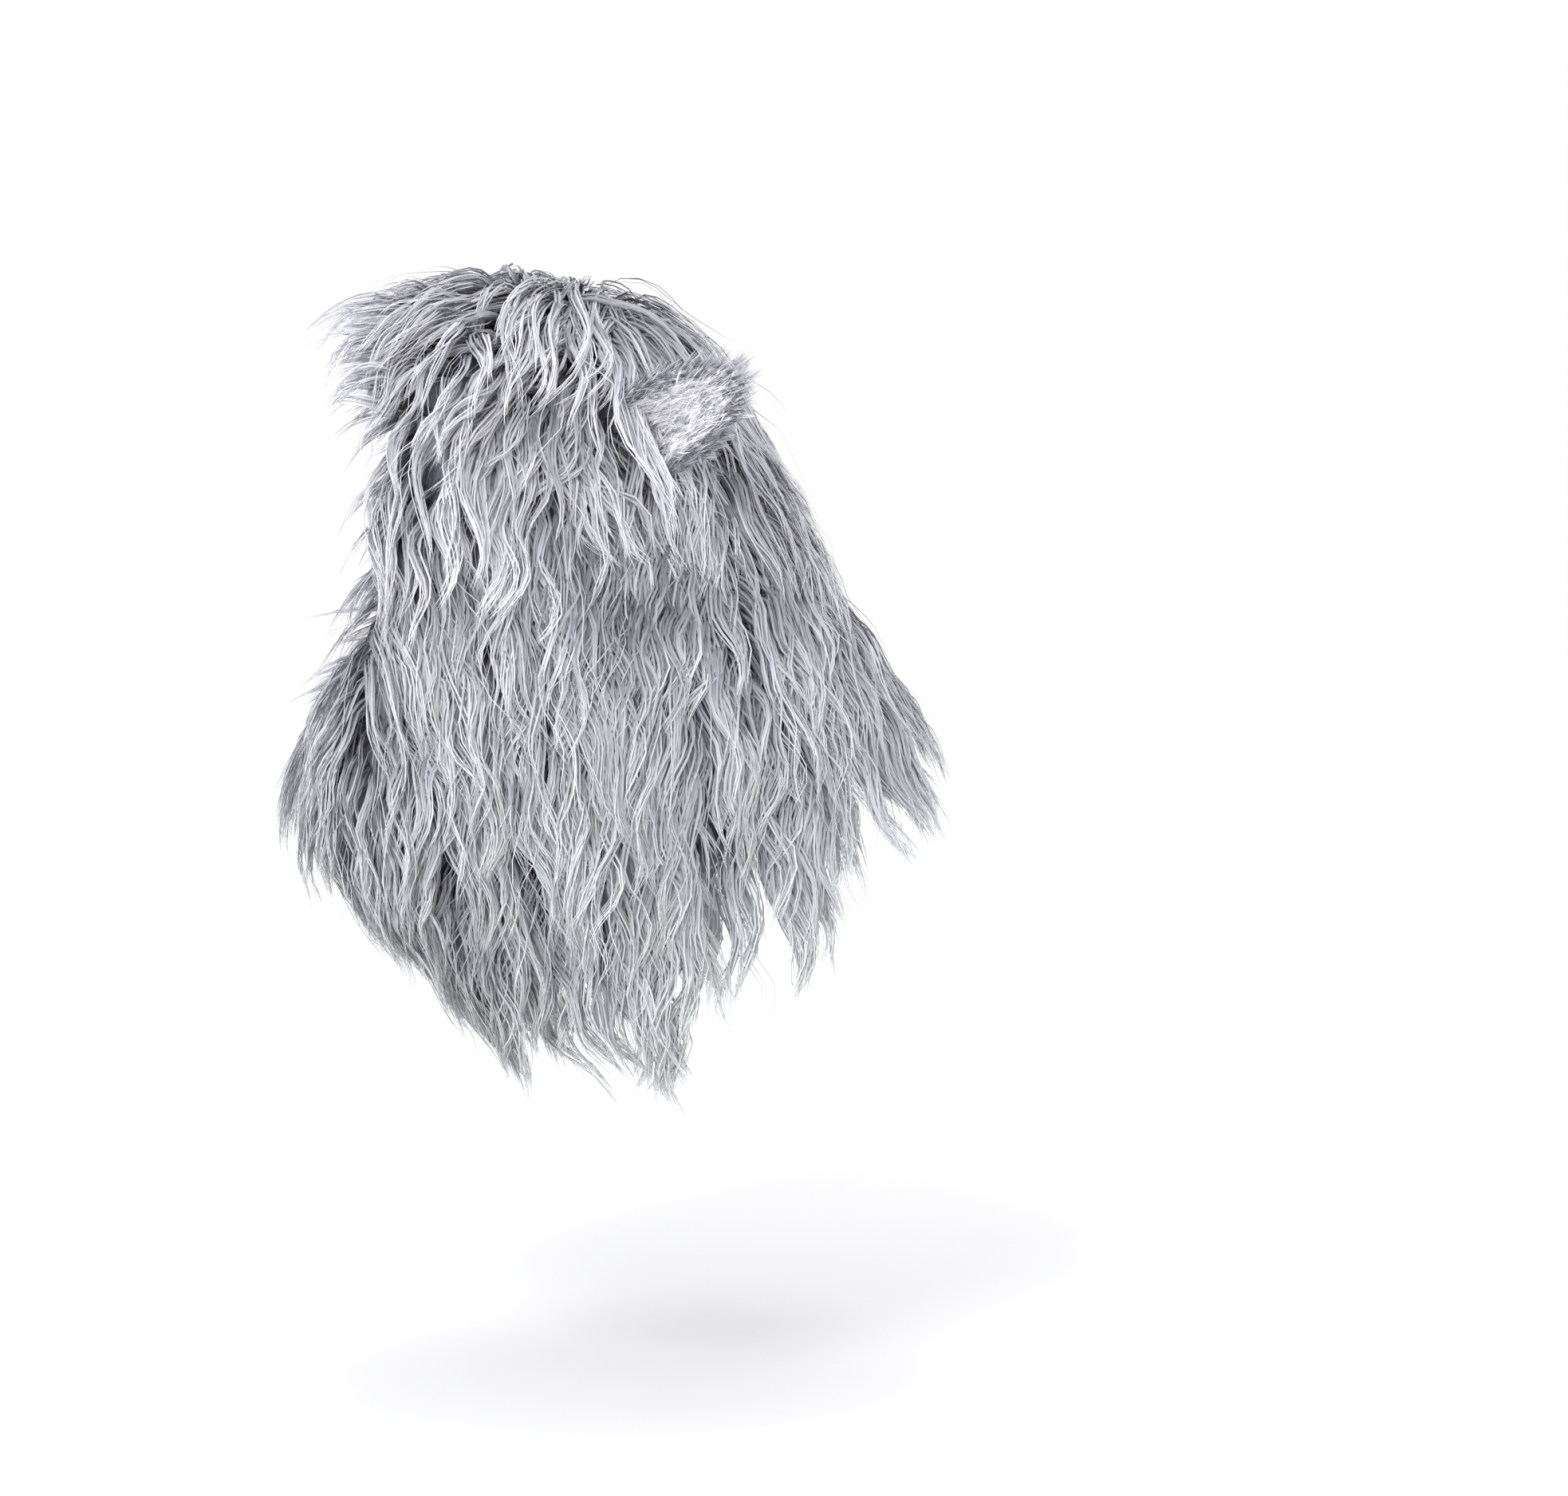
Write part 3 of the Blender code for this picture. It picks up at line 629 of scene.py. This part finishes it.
def edge_lines(count, surface):
    """Guide lines that grow forwards out of the undercoat's edge round the face, and hang down over it."""
    turn = random.uniform(0, 2 * math.pi, count)
    along = np.zeros(count)
    normals = hood_normals(along, turn)
    height = undercoat_depth(along, turn) * random.uniform(0.05, 1.0, count)
    points = hood_points(along + random.uniform(0.0, FACE_LOCK_ROOTS, count), turn) + normals * height[:, None]
    forward = hood_points(along, turn) - hood_points(along + FACE_LOCK_ROOTS, turn)
    up = np.cos(turn)[:, None]
    forward = unit(np.where(up < CHIN_BELOW, (0.0, -1.0, 0.0), unit(forward)))
    ways = FACE_LOCK_WAYS
    hang = DOWN * (ways["hang"] - ways["hang_falls"] * np.abs(up))
    direction = forward * ways["forward"] + normals * ways["outward"] + hang
    direction = unit(direction + random.normal(0, ways["scatter"], points.shape))
    length = FACE_LOCK_LENGTH * random.uniform(0.6, 1.25, count) * (1.15 - 0.25 * up[:, 0])
    path = np.zeros((count, LOCK_POINTS, 3))
    out = np.zeros_like(path)
    step = (length / (LOCK_POINTS - 1))[:, None]
    for k in range(LOCK_POINTS):
        path[:, k] = points
        for i, point in enumerate(points):
            nearest, outward, _, _ = surface.find_nearest(Vector(point))
            away = Vector(point) - nearest
            inside = away.dot(outward) < 0 or away.length < FACE_LOCK_OFF
            if inside and FACE_LOCK_KEPT_OFF[0] < up[i, 0] < FACE_LOCK_KEPT_OFF[1]:
                path[i, k] = nearest + outward * FACE_LOCK_OFF
            out[i, k] = unit(np.array(outward) + forward[i] * 0.8)
        points = path[:, k] + direction * step
        direction = unit(direction + DOWN * (FACE_LOCK_WEIGHT + CROWN_EXTRA_WEIGHT * up) * step)
    return path, out, length


def tufted(path, roots, tuft_path, tuft_roots, strength):
    """Draws each line towards the tip of the nearest tuft's line, more towards its own tip."""
    nearest = np.empty(len(roots), int)
    for i, root in enumerate(roots):
        nearest[i] = np.argmin(((tuft_roots - root) ** 2).sum(-1))
    places = np.linspace(0, 1, LOCK_POINTS)
    share = (strength[:, None] * places[None, :] ** TUFTING_CURVE)[..., None]
    return path * (1 - share) + tuft_path[nearest] * share, nearest


def waved(path, out, length, phase, size):
    """The lines with sideways waves that start small at the root."""
    places = np.linspace(0, 1, LOCK_POINTS)[None, :]
    tangent = unit(np.gradient(path, axis=1))
    side = unit(np.cross(tangent, out))
    turns = 2 * math.pi * places * (length / WAVE_LENGTH)[:, None] + phase[:, None]
    amount = size[:, None] * np.minimum(places * WAVES_BEGIN, 1.0)
    return path + side * (np.sin(turns) * amount)[..., None] + out * (np.cos(turns) * amount * WAVES_OUT)[..., None]


def ear_axes():
    up = unit(EAR_POINTS)
    face = unit(EAR_FACES - up * EAR_FACES.dot(up))
    return up, face, np.cross(up, face)


def ear_outline(share):
    """Half the ear's width at places from root to tip, as a share of its widest."""
    rise = np.clip(share / EAR_WIDEST_AT, 0, 1)
    fall = np.clip((share - EAR_WIDEST_AT) / (1 - EAR_WIDEST_AT), 0, 1)
    rising = EAR_ROOT_WIDTH + (1 - EAR_ROOT_WIDTH) * np.sin(rise * math.pi / 2)
    falling = np.sqrt(np.clip(1 - fall**EAR_ROUNDNESS, 0, 1))
    return np.where(share < EAR_WIDEST_AT, rising, falling)


def ear_leaf_points(side, margin=0.0, shift=0.0, rows=EAR_ROWS, columns=EAR_COLUMNS):
    """Points of the ear's open curved leaf, as a grid from root to tip."""
    up, face, across = ear_axes()
    tip_share = 1.0 - margin / EAR_LENGTH
    share = (1 - (1 - np.linspace(0, 1, rows)) ** EAR_ROWS_TIPWARD) * min(tip_share, EAR_TIP_CLOSES)
    half = ear_outline(share / tip_share) * (EAR_WIDTH / 2 - margin)
    t = np.linspace(-1, 1, columns)
    share, half, t = share[:, None], half[:, None], t[None, :]
    place = EAR_SEAT + up * (share * (EAR_LENGTH + EAR_SUNK) - EAR_SUNK)[..., None] + across * (t * half)[..., None]
    sink = EAR_CUP * (1 - (t * half / (EAR_WIDTH / 2)) ** 2) * (1 - EAR_TIP_FLATTENS * share)
    place = place - face * sink[..., None] + face * shift
    place[..., 0] *= side
    return place


def hood_core():
    """Everything inside the hood's outer face, which trims the ears."""
    along = np.linspace(-CORE_PAST, 1 + CORE_PAST, CORE_ROWS)
    turn = np.linspace(0, 2 * math.pi, CORE_COLUMNS, endpoint=False)
    a, t = along[:, None] + 0 * turn, turn[None, :] + 0 * along[:, None]
    points = (hood_points(a, t) + hood_normals(a, t) * CORE_CLEARANCE).reshape(-1, 3)
    obj = mesh_object("hood_core", points, grid_faces(CORE_ROWS, CORE_COLUMNS, True), smooth=False)
    mesh = bmesh.new()
    mesh.from_mesh(obj.data)
    bmesh.ops.holes_fill(mesh, edges=[e for e in mesh.edges if e.is_boundary], sides=0)
    bmesh.ops.triangulate(mesh, faces=mesh.faces)
    bmesh.ops.recalc_face_normals(mesh, faces=mesh.faces)
    mesh.to_mesh(obj.data)
    mesh.free()
    return obj


def trimmed(obj, core):
    made = obj.modifiers.new("Seat", "BOOLEAN")
    made.operation = "DIFFERENCE"
    made.object = core
    made.solver = "MANIFOLD"
    return settled(obj)


def faces_out(obj):
    mesh = bmesh.new()
    mesh.from_mesh(obj.data)
    bmesh.ops.recalc_face_normals(mesh, faces=mesh.faces)
    mesh.to_mesh(obj.data)
    mesh.free()
    return obj


# Materials

def new_material(name):
    made = bpy.data.materials.new(name)
    made.use_nodes = True
    tree = made.node_tree
    return made, tree, tree.nodes["Principled BSDF"]


def mix_color(tree, share, a, b):
    node = tree.nodes.new("ShaderNodeMix")
    node.data_type = "RGBA"
    for socket, value in ((node.inputs[0], share), (node.inputs[6], a), (node.inputs[7], b)):
        if isinstance(value, bpy.types.NodeSocket):
            tree.links.new(value, socket)
        elif socket.type == "RGBA":
            socket.default_value = (*value, 1.0)
        else:
            socket.default_value = value
    return node.outputs[2]


def map_range(tree, value, low, high, to_low=0.0, to_high=1.0):
    return add_node(
        tree,
        "ShaderNodeMapRange",
        None,
        {"Value": value, "From Min": low, "From Max": high, "To Min": to_low, "To Max": to_high},
    ).outputs[0]


def fibre_group():
    """Colours a fibre from its dark root, painted shade deep in the pile, to its pale tip, with its own tone and its
    lock's.
    """
    tree = bpy.data.node_groups.new("Fibre colour and root shade", "ShaderNodeTree")
    interface = tree.interface
    for name in ("Shaded root", "Body", "Tip"):
        interface.new_socket(name, in_out="INPUT", socket_type="NodeSocketColor")
    for name in ("Place", "Strand tone", "Lock tone"):
        interface.new_socket(name, in_out="INPUT", socket_type="NodeSocketFloat")
    interface.new_socket("Color", in_out="OUTPUT", socket_type="NodeSocketColor")
    given = tree.nodes.new("NodeGroupInput").outputs
    # Darker towards the root: painted shade deep in the pile
    low = mix_color(tree, map_range(tree, given["Place"], 0.12, 0.55), given["Shaded root"], given["Body"])
    whole = mix_color(tree, map_range(tree, given["Place"], 0.45, 1.0), low, given["Tip"])
    tone = do_math(tree, "MULTIPLY_ADD", given["Strand tone"], STRAND_TONES, 1.0)
    tone = do_math(tree, "MULTIPLY", tone, do_math(tree, "MULTIPLY_ADD", given["Lock tone"], LOCK_TONES, 1.0))
    toned = do_vector(tree, "SCALE", whole, scale=tone)
    tree.links.new(toned, add_node(tree, "NodeGroupOutput").inputs["Color"])
    return tree


def fibre_color(tree, group, root, body, tip):
    node = add_node(tree, "ShaderNodeGroup", {"node_tree": group})
    for key, color in (("Shaded root", root), ("Body", body), ("Tip", tip)):
        if isinstance(color, bpy.types.NodeSocket):
            tree.links.new(color, node.inputs[key])
        else:
            node.inputs[key].default_value = (*color, 1.0)
    for key, name in (("Place", "place"), ("Strand tone", "strand_tone"), ("Lock tone", "lock_tone")):
        read = add_node(tree, "ShaderNodeAttribute", {"attribute_name": name})
        tree.links.new(read.outputs["Fac"], node.inputs[key])
    return node.outputs["Color"]


def object_noise(tree, scale, detail, stretch=None):
    """A noise value over the object, drawn out along Z where it is stretched."""
    where = add_node(tree, "ShaderNodeTexCoord").outputs["Object"]
    if stretch:
        where = add_node(tree, "ShaderNodeMapping", None, {"Vector": where, "Scale": (1.0, 1.0, stretch)}).outputs[0]
    return add_node(tree, "ShaderNodeTexNoise", None, {"Vector": where, "Scale": scale, "Detail": detail}).outputs[0]


def dress(tree, shader, color, bump=None, **values):
    """Links the colour and a bump's height, and sets the other inputs."""
    tree.links.new(color, shader.inputs["Base Color"])
    if bump:
        height, strength, distance = bump
        node = add_node(tree, "ShaderNodeBump", None, {"Strength": strength, "Distance": distance, "Height": height})
        tree.links.new(node.outputs[0], shader.inputs["Normal"])
    for key, value in values.items():
        shader.inputs[key.replace("_", " ")].default_value = value


def hair_material(name, group, root, body, tip, lower_tip):
    """Silver fibres, palest and slightly violet on top and greyer lower down, with roots darkened as painted shade
    deep in the pile.
    """
    made, tree, shader = new_material(name)
    where = add_node(tree, "ShaderNodeTexCoord").outputs["Object"]
    height = add_node(tree, "ShaderNodeSeparateXYZ", None, {0: where}).outputs[2]
    tip_here = mix_color(tree, map_range(tree, height, *TIPS_CHANGE_Z), tip, lower_tip)
    color = fibre_color(tree, group, root, body, tip_here)
    dress(tree, shader, color, Roughness=0.48, Specular_IOR_Level=0.35, Sheen_Weight=0.15)
    return made


def undercoat_shade_material():
    made, tree, shader = new_material("undercoat")
    fine = object_noise(tree, 900.0, 3.0, stretch=0.18)
    broad = object_noise(tree, 120.0, 2.0, stretch=0.18)
    # The dark greys are painted shade deep in the fur; the noise gives the undercoat's own streaks and patches
    color = mix_color(tree, fine, (0.12, 0.125, 0.16), (0.34, 0.35, 0.41))
    color = mix_color(tree, broad, color, (0.20, 0.205, 0.25))
    dress(tree, shader, color, (fine, 0.9, 0.002), Roughness=0.9)
    return made


def knit_material():
    """Grey knitted backing: rows of small loops along the hood, darker where the loops dip as painted shade between
    them, with ribs.
    """
    made, tree, shader = new_material("knit")
    uv = add_node(tree, "ShaderNodeUVMap", {"uv_map": "cloth"}).outputs[0]
    parts = add_node(tree, "ShaderNodeSeparateXYZ", None, {0: uv}).outputs
    loops = do_math(tree, "SINE", do_math(tree, "MULTIPLY", parts[0], 2 * math.pi / KNIT_LOOP))
    lean = do_math(tree, "MULTIPLY", do_math(tree, "ABSOLUTE", loops), 0.55)
    rows = do_math(tree, "MULTIPLY", parts[1], 2 * math.pi / KNIT_ROW)
    rows = do_math(tree, "SINE", do_math(tree, "ADD", rows, do_math(tree, "MULTIPLY", lean, 3.0)))
    height = do_math(tree, "MULTIPLY_ADD", do_math(tree, "MULTIPLY", loops, rows), 0.5, 0.5)
    worn = object_noise(tree, 40.0, 4.0)
    ribs = do_math(tree, "SINE", do_math(tree, "MULTIPLY", parts[0], 2 * math.pi / KNIT_RIB))
    # Painted shade: darker where the loops dip
    color = mix_color(tree, height, (0.13, 0.13, 0.15), (0.36, 0.36, 0.40))
    color = mix_color(tree, map_range(tree, ribs, 0.2, 1.0, 0.0, 0.30), color, (0.09, 0.09, 0.11))
    color = mix_color(tree, map_range(tree, worn, 0.3, 0.7, 0.0, 0.35), color, (0.25, 0.25, 0.28))
    dress(tree, shader, color, (height, 0.8, 0.0006), Roughness=0.92, Sheen_Weight=0.3)
    return made


def pile_material(name, dark, pale, scale):
    """Short dense pile seen as cloth: fine mottling and a soft nap."""
    made, tree, shader = new_material(name)
    fine = object_noise(tree, scale, 3.0)
    nap = object_noise(tree, scale / 14, 2.0)
    color = mix_color(tree, map_range(tree, fine, 0.3, 0.7), dark, pale)
    color = mix_color(tree, map_range(tree, nap, 0.35, 0.65, 0.0, 0.4), color, pale)
    dress(tree, shader, color, (fine, 0.7, 0.0006), Roughness=0.88, Sheen_Weight=0.5, Sheen_Roughness=0.4)
    return made


# Pieces

def finished(obj, finish, node=None):
    """The piece with its material, riding the root, and in the place of its solid."""
    obj.data.materials.clear()
    obj.data.materials.append(finish)
    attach(obj, "root")
    if node:
        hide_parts(node)
    return obj


def lay_cloth(mesh, along, rows, columns):
    """UV in metres round and along a double-walled sleeve, without a jump where it closes."""
    rings = hood_points(*sleeve_grid(rows, columns))
    girth = np.linalg.norm(np.roll(rings, -1, 1) - rings, axis=-1).sum(1).mean()
    u = np.tile(np.arange(columns) / columns * girth, 2 * rows)
    v = np.tile(along.ravel(), 2)
    uv = mesh.uv_layers.new(name="cloth")
    for polygon in mesh.polygons:
        us = [u[i] for i in polygon.vertices]
        wraps = max(us) - min(us) > girth / 2
        for loop, vertex in zip(polygon.loop_indices, polygon.vertices):
            x = u[vertex] + (girth if wraps and u[vertex] < girth / 2 else 0)
            uv.data[loop].uv = (x, v[vertex])


def make_hood(finish):
    """The knitted hood: two faces of cloth with a thicker hem turned in along both edges."""
    a, t = sleeve_grid(HOOD_ROWS, HOOD_COLUMNS)
    lengthwise = HOOD_REACH + HOOD_DROP / 2
    outer = hood_points(a, t)
    hem = np.clip((HEM_WIDTH - np.minimum(a, 1 - a) * lengthwise) / HEM_STEP + 0.5, 0, 1)
    inner = outer - hood_normals(a, t) * (CLOTH + HEM_EXTRA * hem)[..., None]
    points = np.concatenate((outer.reshape(-1, 3), inner.reshape(-1, 3)))
    obj = faces_out(mesh_object("hood_cloth", points, sleeve_faces(HOOD_ROWS, HOOD_COLUMNS, flipped=True)))
    lay_cloth(obj.data, a * lengthwise, HOOD_ROWS, HOOD_COLUMNS)
    finished(obj, finish, "hood_backing")


def make_undercoat(finish):
    """The dense lumpy undercoat that the locks grow through."""
    a, t = sleeve_grid(UNDERCOAT_ROWS, UNDERCOAT_COLUMNS)
    base, normals = hood_points(a, t), hood_normals(a, t)
    lumps = soft_noise(base.reshape(-1, 3), LUMPS_SCALE, LUMPS_SEED)[:, 0].reshape(a.shape) * UNDERCOAT_LUMPS
    outer = base + normals * (undercoat_depth(a, t) * (1 + lumps))[..., None]
    inner = base + normals * GAP
    points = np.concatenate((outer.reshape(-1, 3), inner.reshape(-1, 3)))
    obj = faces_out(mesh_object("mane_undercoat", points, sleeve_faces(UNDERCOAT_ROWS, UNDERCOAT_COLUMNS)))
    finished(obj, finish, "mane_fur")


def leaf_wall(name, points, wall, outwards, core, rounded=False):
    """An ear's curved leaf with a wall, cut off at the hood."""
    leaf = mesh_object(name, points.reshape(-1, 3), grid_faces(EAR_ROWS, EAR_COLUMNS, False))
    made = leaf.modifiers.new("Wall", "SOLIDIFY")
    made.thickness = wall
    made.offset = outwards
    faces_out(settled(leaf))
    if rounded:
        made = leaf.modifiers.new("Round", "SUBSURF")
        made.levels = made.render_levels = 1
        settled(leaf)
    trimmed(leaf, core)
    leaf.data.shade_smooth()
    return leaf


def make_ear(name, side, core, plush, pale, tree, fuzz, down):
    """One plush ear: a padded leaf with a rounded rim, a pale lining sewn in and short pile over both."""
    back = leaf_wall(f"ear_plush_{name}", ear_leaf_points(side, EAR_INSET), EAR_WALL, -side, core, rounded=True)
    finished(back, plush, f"ear_{name}")
    inner = leaf_wall(f"ear_inside_{name}", ear_leaf_points(side, LINING_MARGIN, GAP), LINING_WALL, side, core)
    finished(inner, pale, f"ear_lining_{name}")

    tipwards = ear_axes()[0] * (side, 1, 1)
    for source, count, length, rise, tones, piece, finish, slot in (
        (back, FUZZ_TUFTS, FUZZ_LENGTH, FUZZ_RISE, 1.0, f"ear_fuzz_{name}", fuzz, "ear_plush"),
        (inner, DOWN_TUFTS, DOWN_LENGTH, DOWN_RISE, DOWN_TONES, f"ear_down_{name}", down, "ear_lining"),
    ):
        roots, normals = scatter_on_mesh(source.data, count)
        lean = unit(normals * rise + tipwards * PILE_LIES + random.normal(0, PILE_SCATTER, normals.shape))
        steps = np.linspace(0, 1, PILE_POINTS)[None, :, None]
        reach = (length * random.uniform(0.6, 1.15, count))[:, None, None]
        paths = roots[:, None] + lean[:, None] * steps * reach + tipwards * steps**2 * reach * PILE_CURLS
        out = np.repeat(normals[:, None], PILE_POINTS, 1)
        guides = (paths, out, np.ones(count), random.uniform(-tones, tones, count))
        grow_hair(piece, guides, tree, finish, slot, **PILE)


def scatter_on_mesh(mesh, count):
    """Random points on a mesh, spread by area, with their normals."""
    mesh.calc_loop_triangles()
    corners = np.array([[mesh.vertices[i].co for i in tri.vertices] for tri in mesh.loop_triangles])
    cross = np.cross(corners[:, 1] - corners[:, 0], corners[:, 2] - corners[:, 0])
    area = np.linalg.norm(cross, axis=-1)
    chosen = random.choice(len(area), count, p=area / area.sum())
    u, v = random.uniform(0, 1, (2, count, 1))
    flip = (u + v) > 1
    u, v = np.where(flip, 1 - u, u), np.where(flip, 1 - v, v)
    c = corners[chosen]
    return c[:, 0] + (c[:, 1] - c[:, 0]) * u + (c[:, 2] - c[:, 0]) * v, unit(cross[chosen])


def clear_of_ears(path, near):
    """Lines that keep this far from both ears."""
    keep = np.ones(len(path), bool)
    for side in (1, -1):
        ear = ear_leaf_points(side, rows=12, columns=9)[4:].reshape(-1, 3)  # its outer two thirds
        for k in range(1, path.shape[1]):
            gap = np.sqrt(((path[:, k, None] - ear[None]) ** 2).sum(-1)).min(1)
            keep &= gap > near
    return keep


def grow_locks(surface, tree, finish):
    """The small locks, gathered into larger tufts, in eight pieces by where they grow."""
    along, turn = scatter_on_hood(TUFTS)
    tuft_roots = hood_points(along, turn)
    length = hair_length(along, turn)
    tuft_path, tuft_out = trace(along, turn, length * TUFT_LONGER, surface)
    tuft_phase = random.uniform(0, 2 * math.pi, TUFTS)
    tuft_path = waved(tuft_path, tuft_out, length, tuft_phase, np.full(TUFTS, TUFT_WAVE))
    tuft_tone = random.uniform(-1, 1, TUFTS)

    along, turn = scatter_on_hood(LOCKS)
    more_turn = (
        random.normal(0, CROWN_TURNS, CROWN_LOCKS),
        random.uniform(0, 2 * math.pi, HEM_LOCKS),
        random.choice((-1, 1), JAW_LOCKS) * random.uniform(*JAW_TURNS, JAW_LOCKS),
    )
    more_along = (
        random.uniform(*CROWN_PLACES, CROWN_LOCKS),
        random.uniform(*HEM_PLACES, HEM_LOCKS),
        random.uniform(*JAW_PLACES, JAW_LOCKS),
    )
    along = np.concatenate((along, *more_along))
    turn = np.concatenate((turn, np.concatenate(more_turn) % (2 * math.pi)))
    roots = hood_points(along, turn)
    count = len(roots)
    from_parting = np.linalg.norm((roots - PARTING) * (0.5, 1, 1), axis=-1) / CROWN_REACH
    shortest = SHORTEST - CROWN_SHORTER * np.exp(-from_parting * from_parting)
    length = hair_length(along, turn) * random.uniform(shortest, LONGEST, count)
    path, out = trace(along, turn, length, surface)
    path, tuft = tufted(path, roots, tuft_path, tuft_roots, random.uniform(*TUFTING, count))
    phase = tuft_phase[tuft] + random.normal(0, 0.9, count)
    path = waved(path, out, length, phase, random.uniform(*LOCK_WAVES, count))
    tone = TUFT_TONE * tuft_tone[tuft] + (1 - TUFT_TONE) * random.uniform(-1, 1, count)
    size = random.uniform(0.6, 1.25, count)

    up = np.cos(turn)
    at_line = (np.abs(roots[:, 1] - BACK_BEGINS_Y) < SHADOW_LINE) & (up < 0.8) & (up > -0.7)
    kept = clear_of_ears(path, EAR_CLEARANCE) & ~at_line
    left, forward = roots[:, 0] > 0, along < 0.5
    places = (
        (up > 0.45) & (along < 0.42),
        (roots[:, 1] > BACK_BEGINS_Y) & (up > -0.2),
        (up < -0.35) & (along < 0.55),
        up < -0.35,
        left & forward,
        left,
        forward,
    )
    region = np.select(places, range(7), 7)
    for number, name in enumerate(MANE_PIECES):
        chosen = kept & (region == number)
        guides = (path[chosen], out[chosen], size[chosen], tone[chosen])
        grow_hair(f"mane_{name}", guides, tree, finish, "silver_fur", **LOCK, seed=number)


def grow_face_edge(surface, tree, finish):
    """Short locks that cover the undercoat's edge round the face."""
    path, out, length = edge_lines(FACE_LOCKS, surface)
    phase = random.uniform(0, 2 * math.pi, FACE_LOCKS)
    path = waved(path, out, length, phase, random.uniform(*FACE_WAVES, FACE_LOCKS))
    guides = (path, out, random.uniform(0.7, 1.2, FACE_LOCKS), random.uniform(-1, 1, FACE_LOCKS))
    grow_hair("mane_face_edge", guides, tree, finish, "silver_fur", **FACE_LOCK)


def grow_stray_hairs(surface, tree, finish):
    along, turn = scatter_on_hood(STRAY_LOCKS)
    length = hair_length(along, turn) * random.uniform(0.9, 1.15, len(along))
    path, out = trace(along, turn, length, surface)
    phase = random.uniform(0, 2 * math.pi, len(along))
    path = waved(path, out, length, phase, random.uniform(*STRAY_WAVES, len(along)))
    kept = clear_of_ears(path, STRAY_CLEARANCE) & ((path > STRAYS_FROM) & (path < STRAYS_TO)).all((1, 2))
    guides = (path[kept], out[kept], np.ones(kept.sum()), random.uniform(-1, 1, kept.sum()))
    grow_hair("mane_stray_hairs", guides, tree, finish, "silver_fur", **STRAY)


# Studio

def look_at(obj, place, target):
    obj.location = place
    obj.rotation_euler = (Vector(target) - Vector(place)).to_track_quat("-Z", "Y").to_euler()


def make_studio():
    world = bpy.data.worlds.new("studio")
    bpy.context.scene.world = world
    world.use_nodes = True
    tree = world.node_tree
    soft = tree.nodes["Background"]
    soft.inputs["Color"].default_value = (0.98, 0.985, 1.0, 1.0)
    soft.inputs["Strength"].default_value = 1.0
    white = add_node(tree, "ShaderNodeBackground", None, {"Color": (1, 1, 1, 1), "Strength": 1.0})
    seen = add_node(tree, "ShaderNodeLightPath").outputs["Is Camera Ray"]
    mixed = add_node(tree, "ShaderNodeMixShader", None, {0: seen, 1: soft.outputs[0], 2: white.outputs[0]})
    tree.links.new(mixed.outputs[0], tree.nodes["World Output"].inputs["Surface"])

    corners = [(x * FLOOR_HALF, y * FLOOR_HALF, FLOOR_Z) for x, y in ((-1, -1), (1, -1), (1, 1), (-1, 1))]
    floor = mesh_object("floor", corners, [(0, 1, 2, 3)])
    made, floor_tree, shader = new_material("floor_white_painted_shadow")
    away = do_vector(floor_tree, "LENGTH", add_node(floor_tree, "ShaderNodeTexCoord").outputs["Object"])
    # Painted shadow: a grey pool round the wig, fading to white far off
    color = mix_color(floor_tree, map_range(floor_tree, away, 0.6, 2.2), (0.74, 0.74, 0.75), (1.0, 1.0, 1.0))
    dress(floor_tree, shader, color, Roughness=1.0, Specular_IOR_Level=0.0)
    floor.data.materials.append(made)

    for name, place, size, power in LIGHTS:
        data = bpy.data.lights.new(name, "AREA")
        data.size = size
        data.energy = power
        light = bpy.data.objects.new(name, data)
        bpy.context.scene.collection.objects.link(light)
        look_at(light, place, LIGHTS_AIM_AT)

    data = bpy.data.cameras.new("camera")
    data.lens = CAMERA_LENS
    data.sensor_width = CAMERA_SENSOR
    camera = bpy.data.objects.new("camera", data)
    bpy.context.scene.collection.objects.link(camera)
    look_at(camera, CAMERA_AT, CAMERA_LOOKS_AT)
    bpy.context.scene.camera = camera
    bpy.context.scene.view_settings.view_transform = "Standard"


def main():
    group = fibre_group()
    silver = hair_material("silver_hair", group, *SILVER_HAIR_AND_ROOT_SHADE)
    fuzz = hair_material("ear_pile", group, *EAR_FUZZ_AND_ROOT_SHADE)
    down = hair_material("lining_pile", group, *LINING_DOWN)
    plush = pile_material("ear_plush_cloth", *EAR_CLOTH, 900.0)
    pale = pile_material("ear_lining_cloth", *LINING_CLOTH, 2200.0)
    strands = strand_tree()
    core = hood_core()
    make_hood(knit_material())
    make_undercoat(undercoat_shade_material())
    for name, side in (("left", 1), ("right", -1)):
        make_ear(name, side, core, plush, pale, strands, fuzz, down)
    bpy.data.objects.remove(core, do_unlink=True)
    surface = hood_surface()
    for grow in (grow_locks, grow_face_edge, grow_stray_hairs):
        grow(surface, strands, silver)
    make_studio()


main()
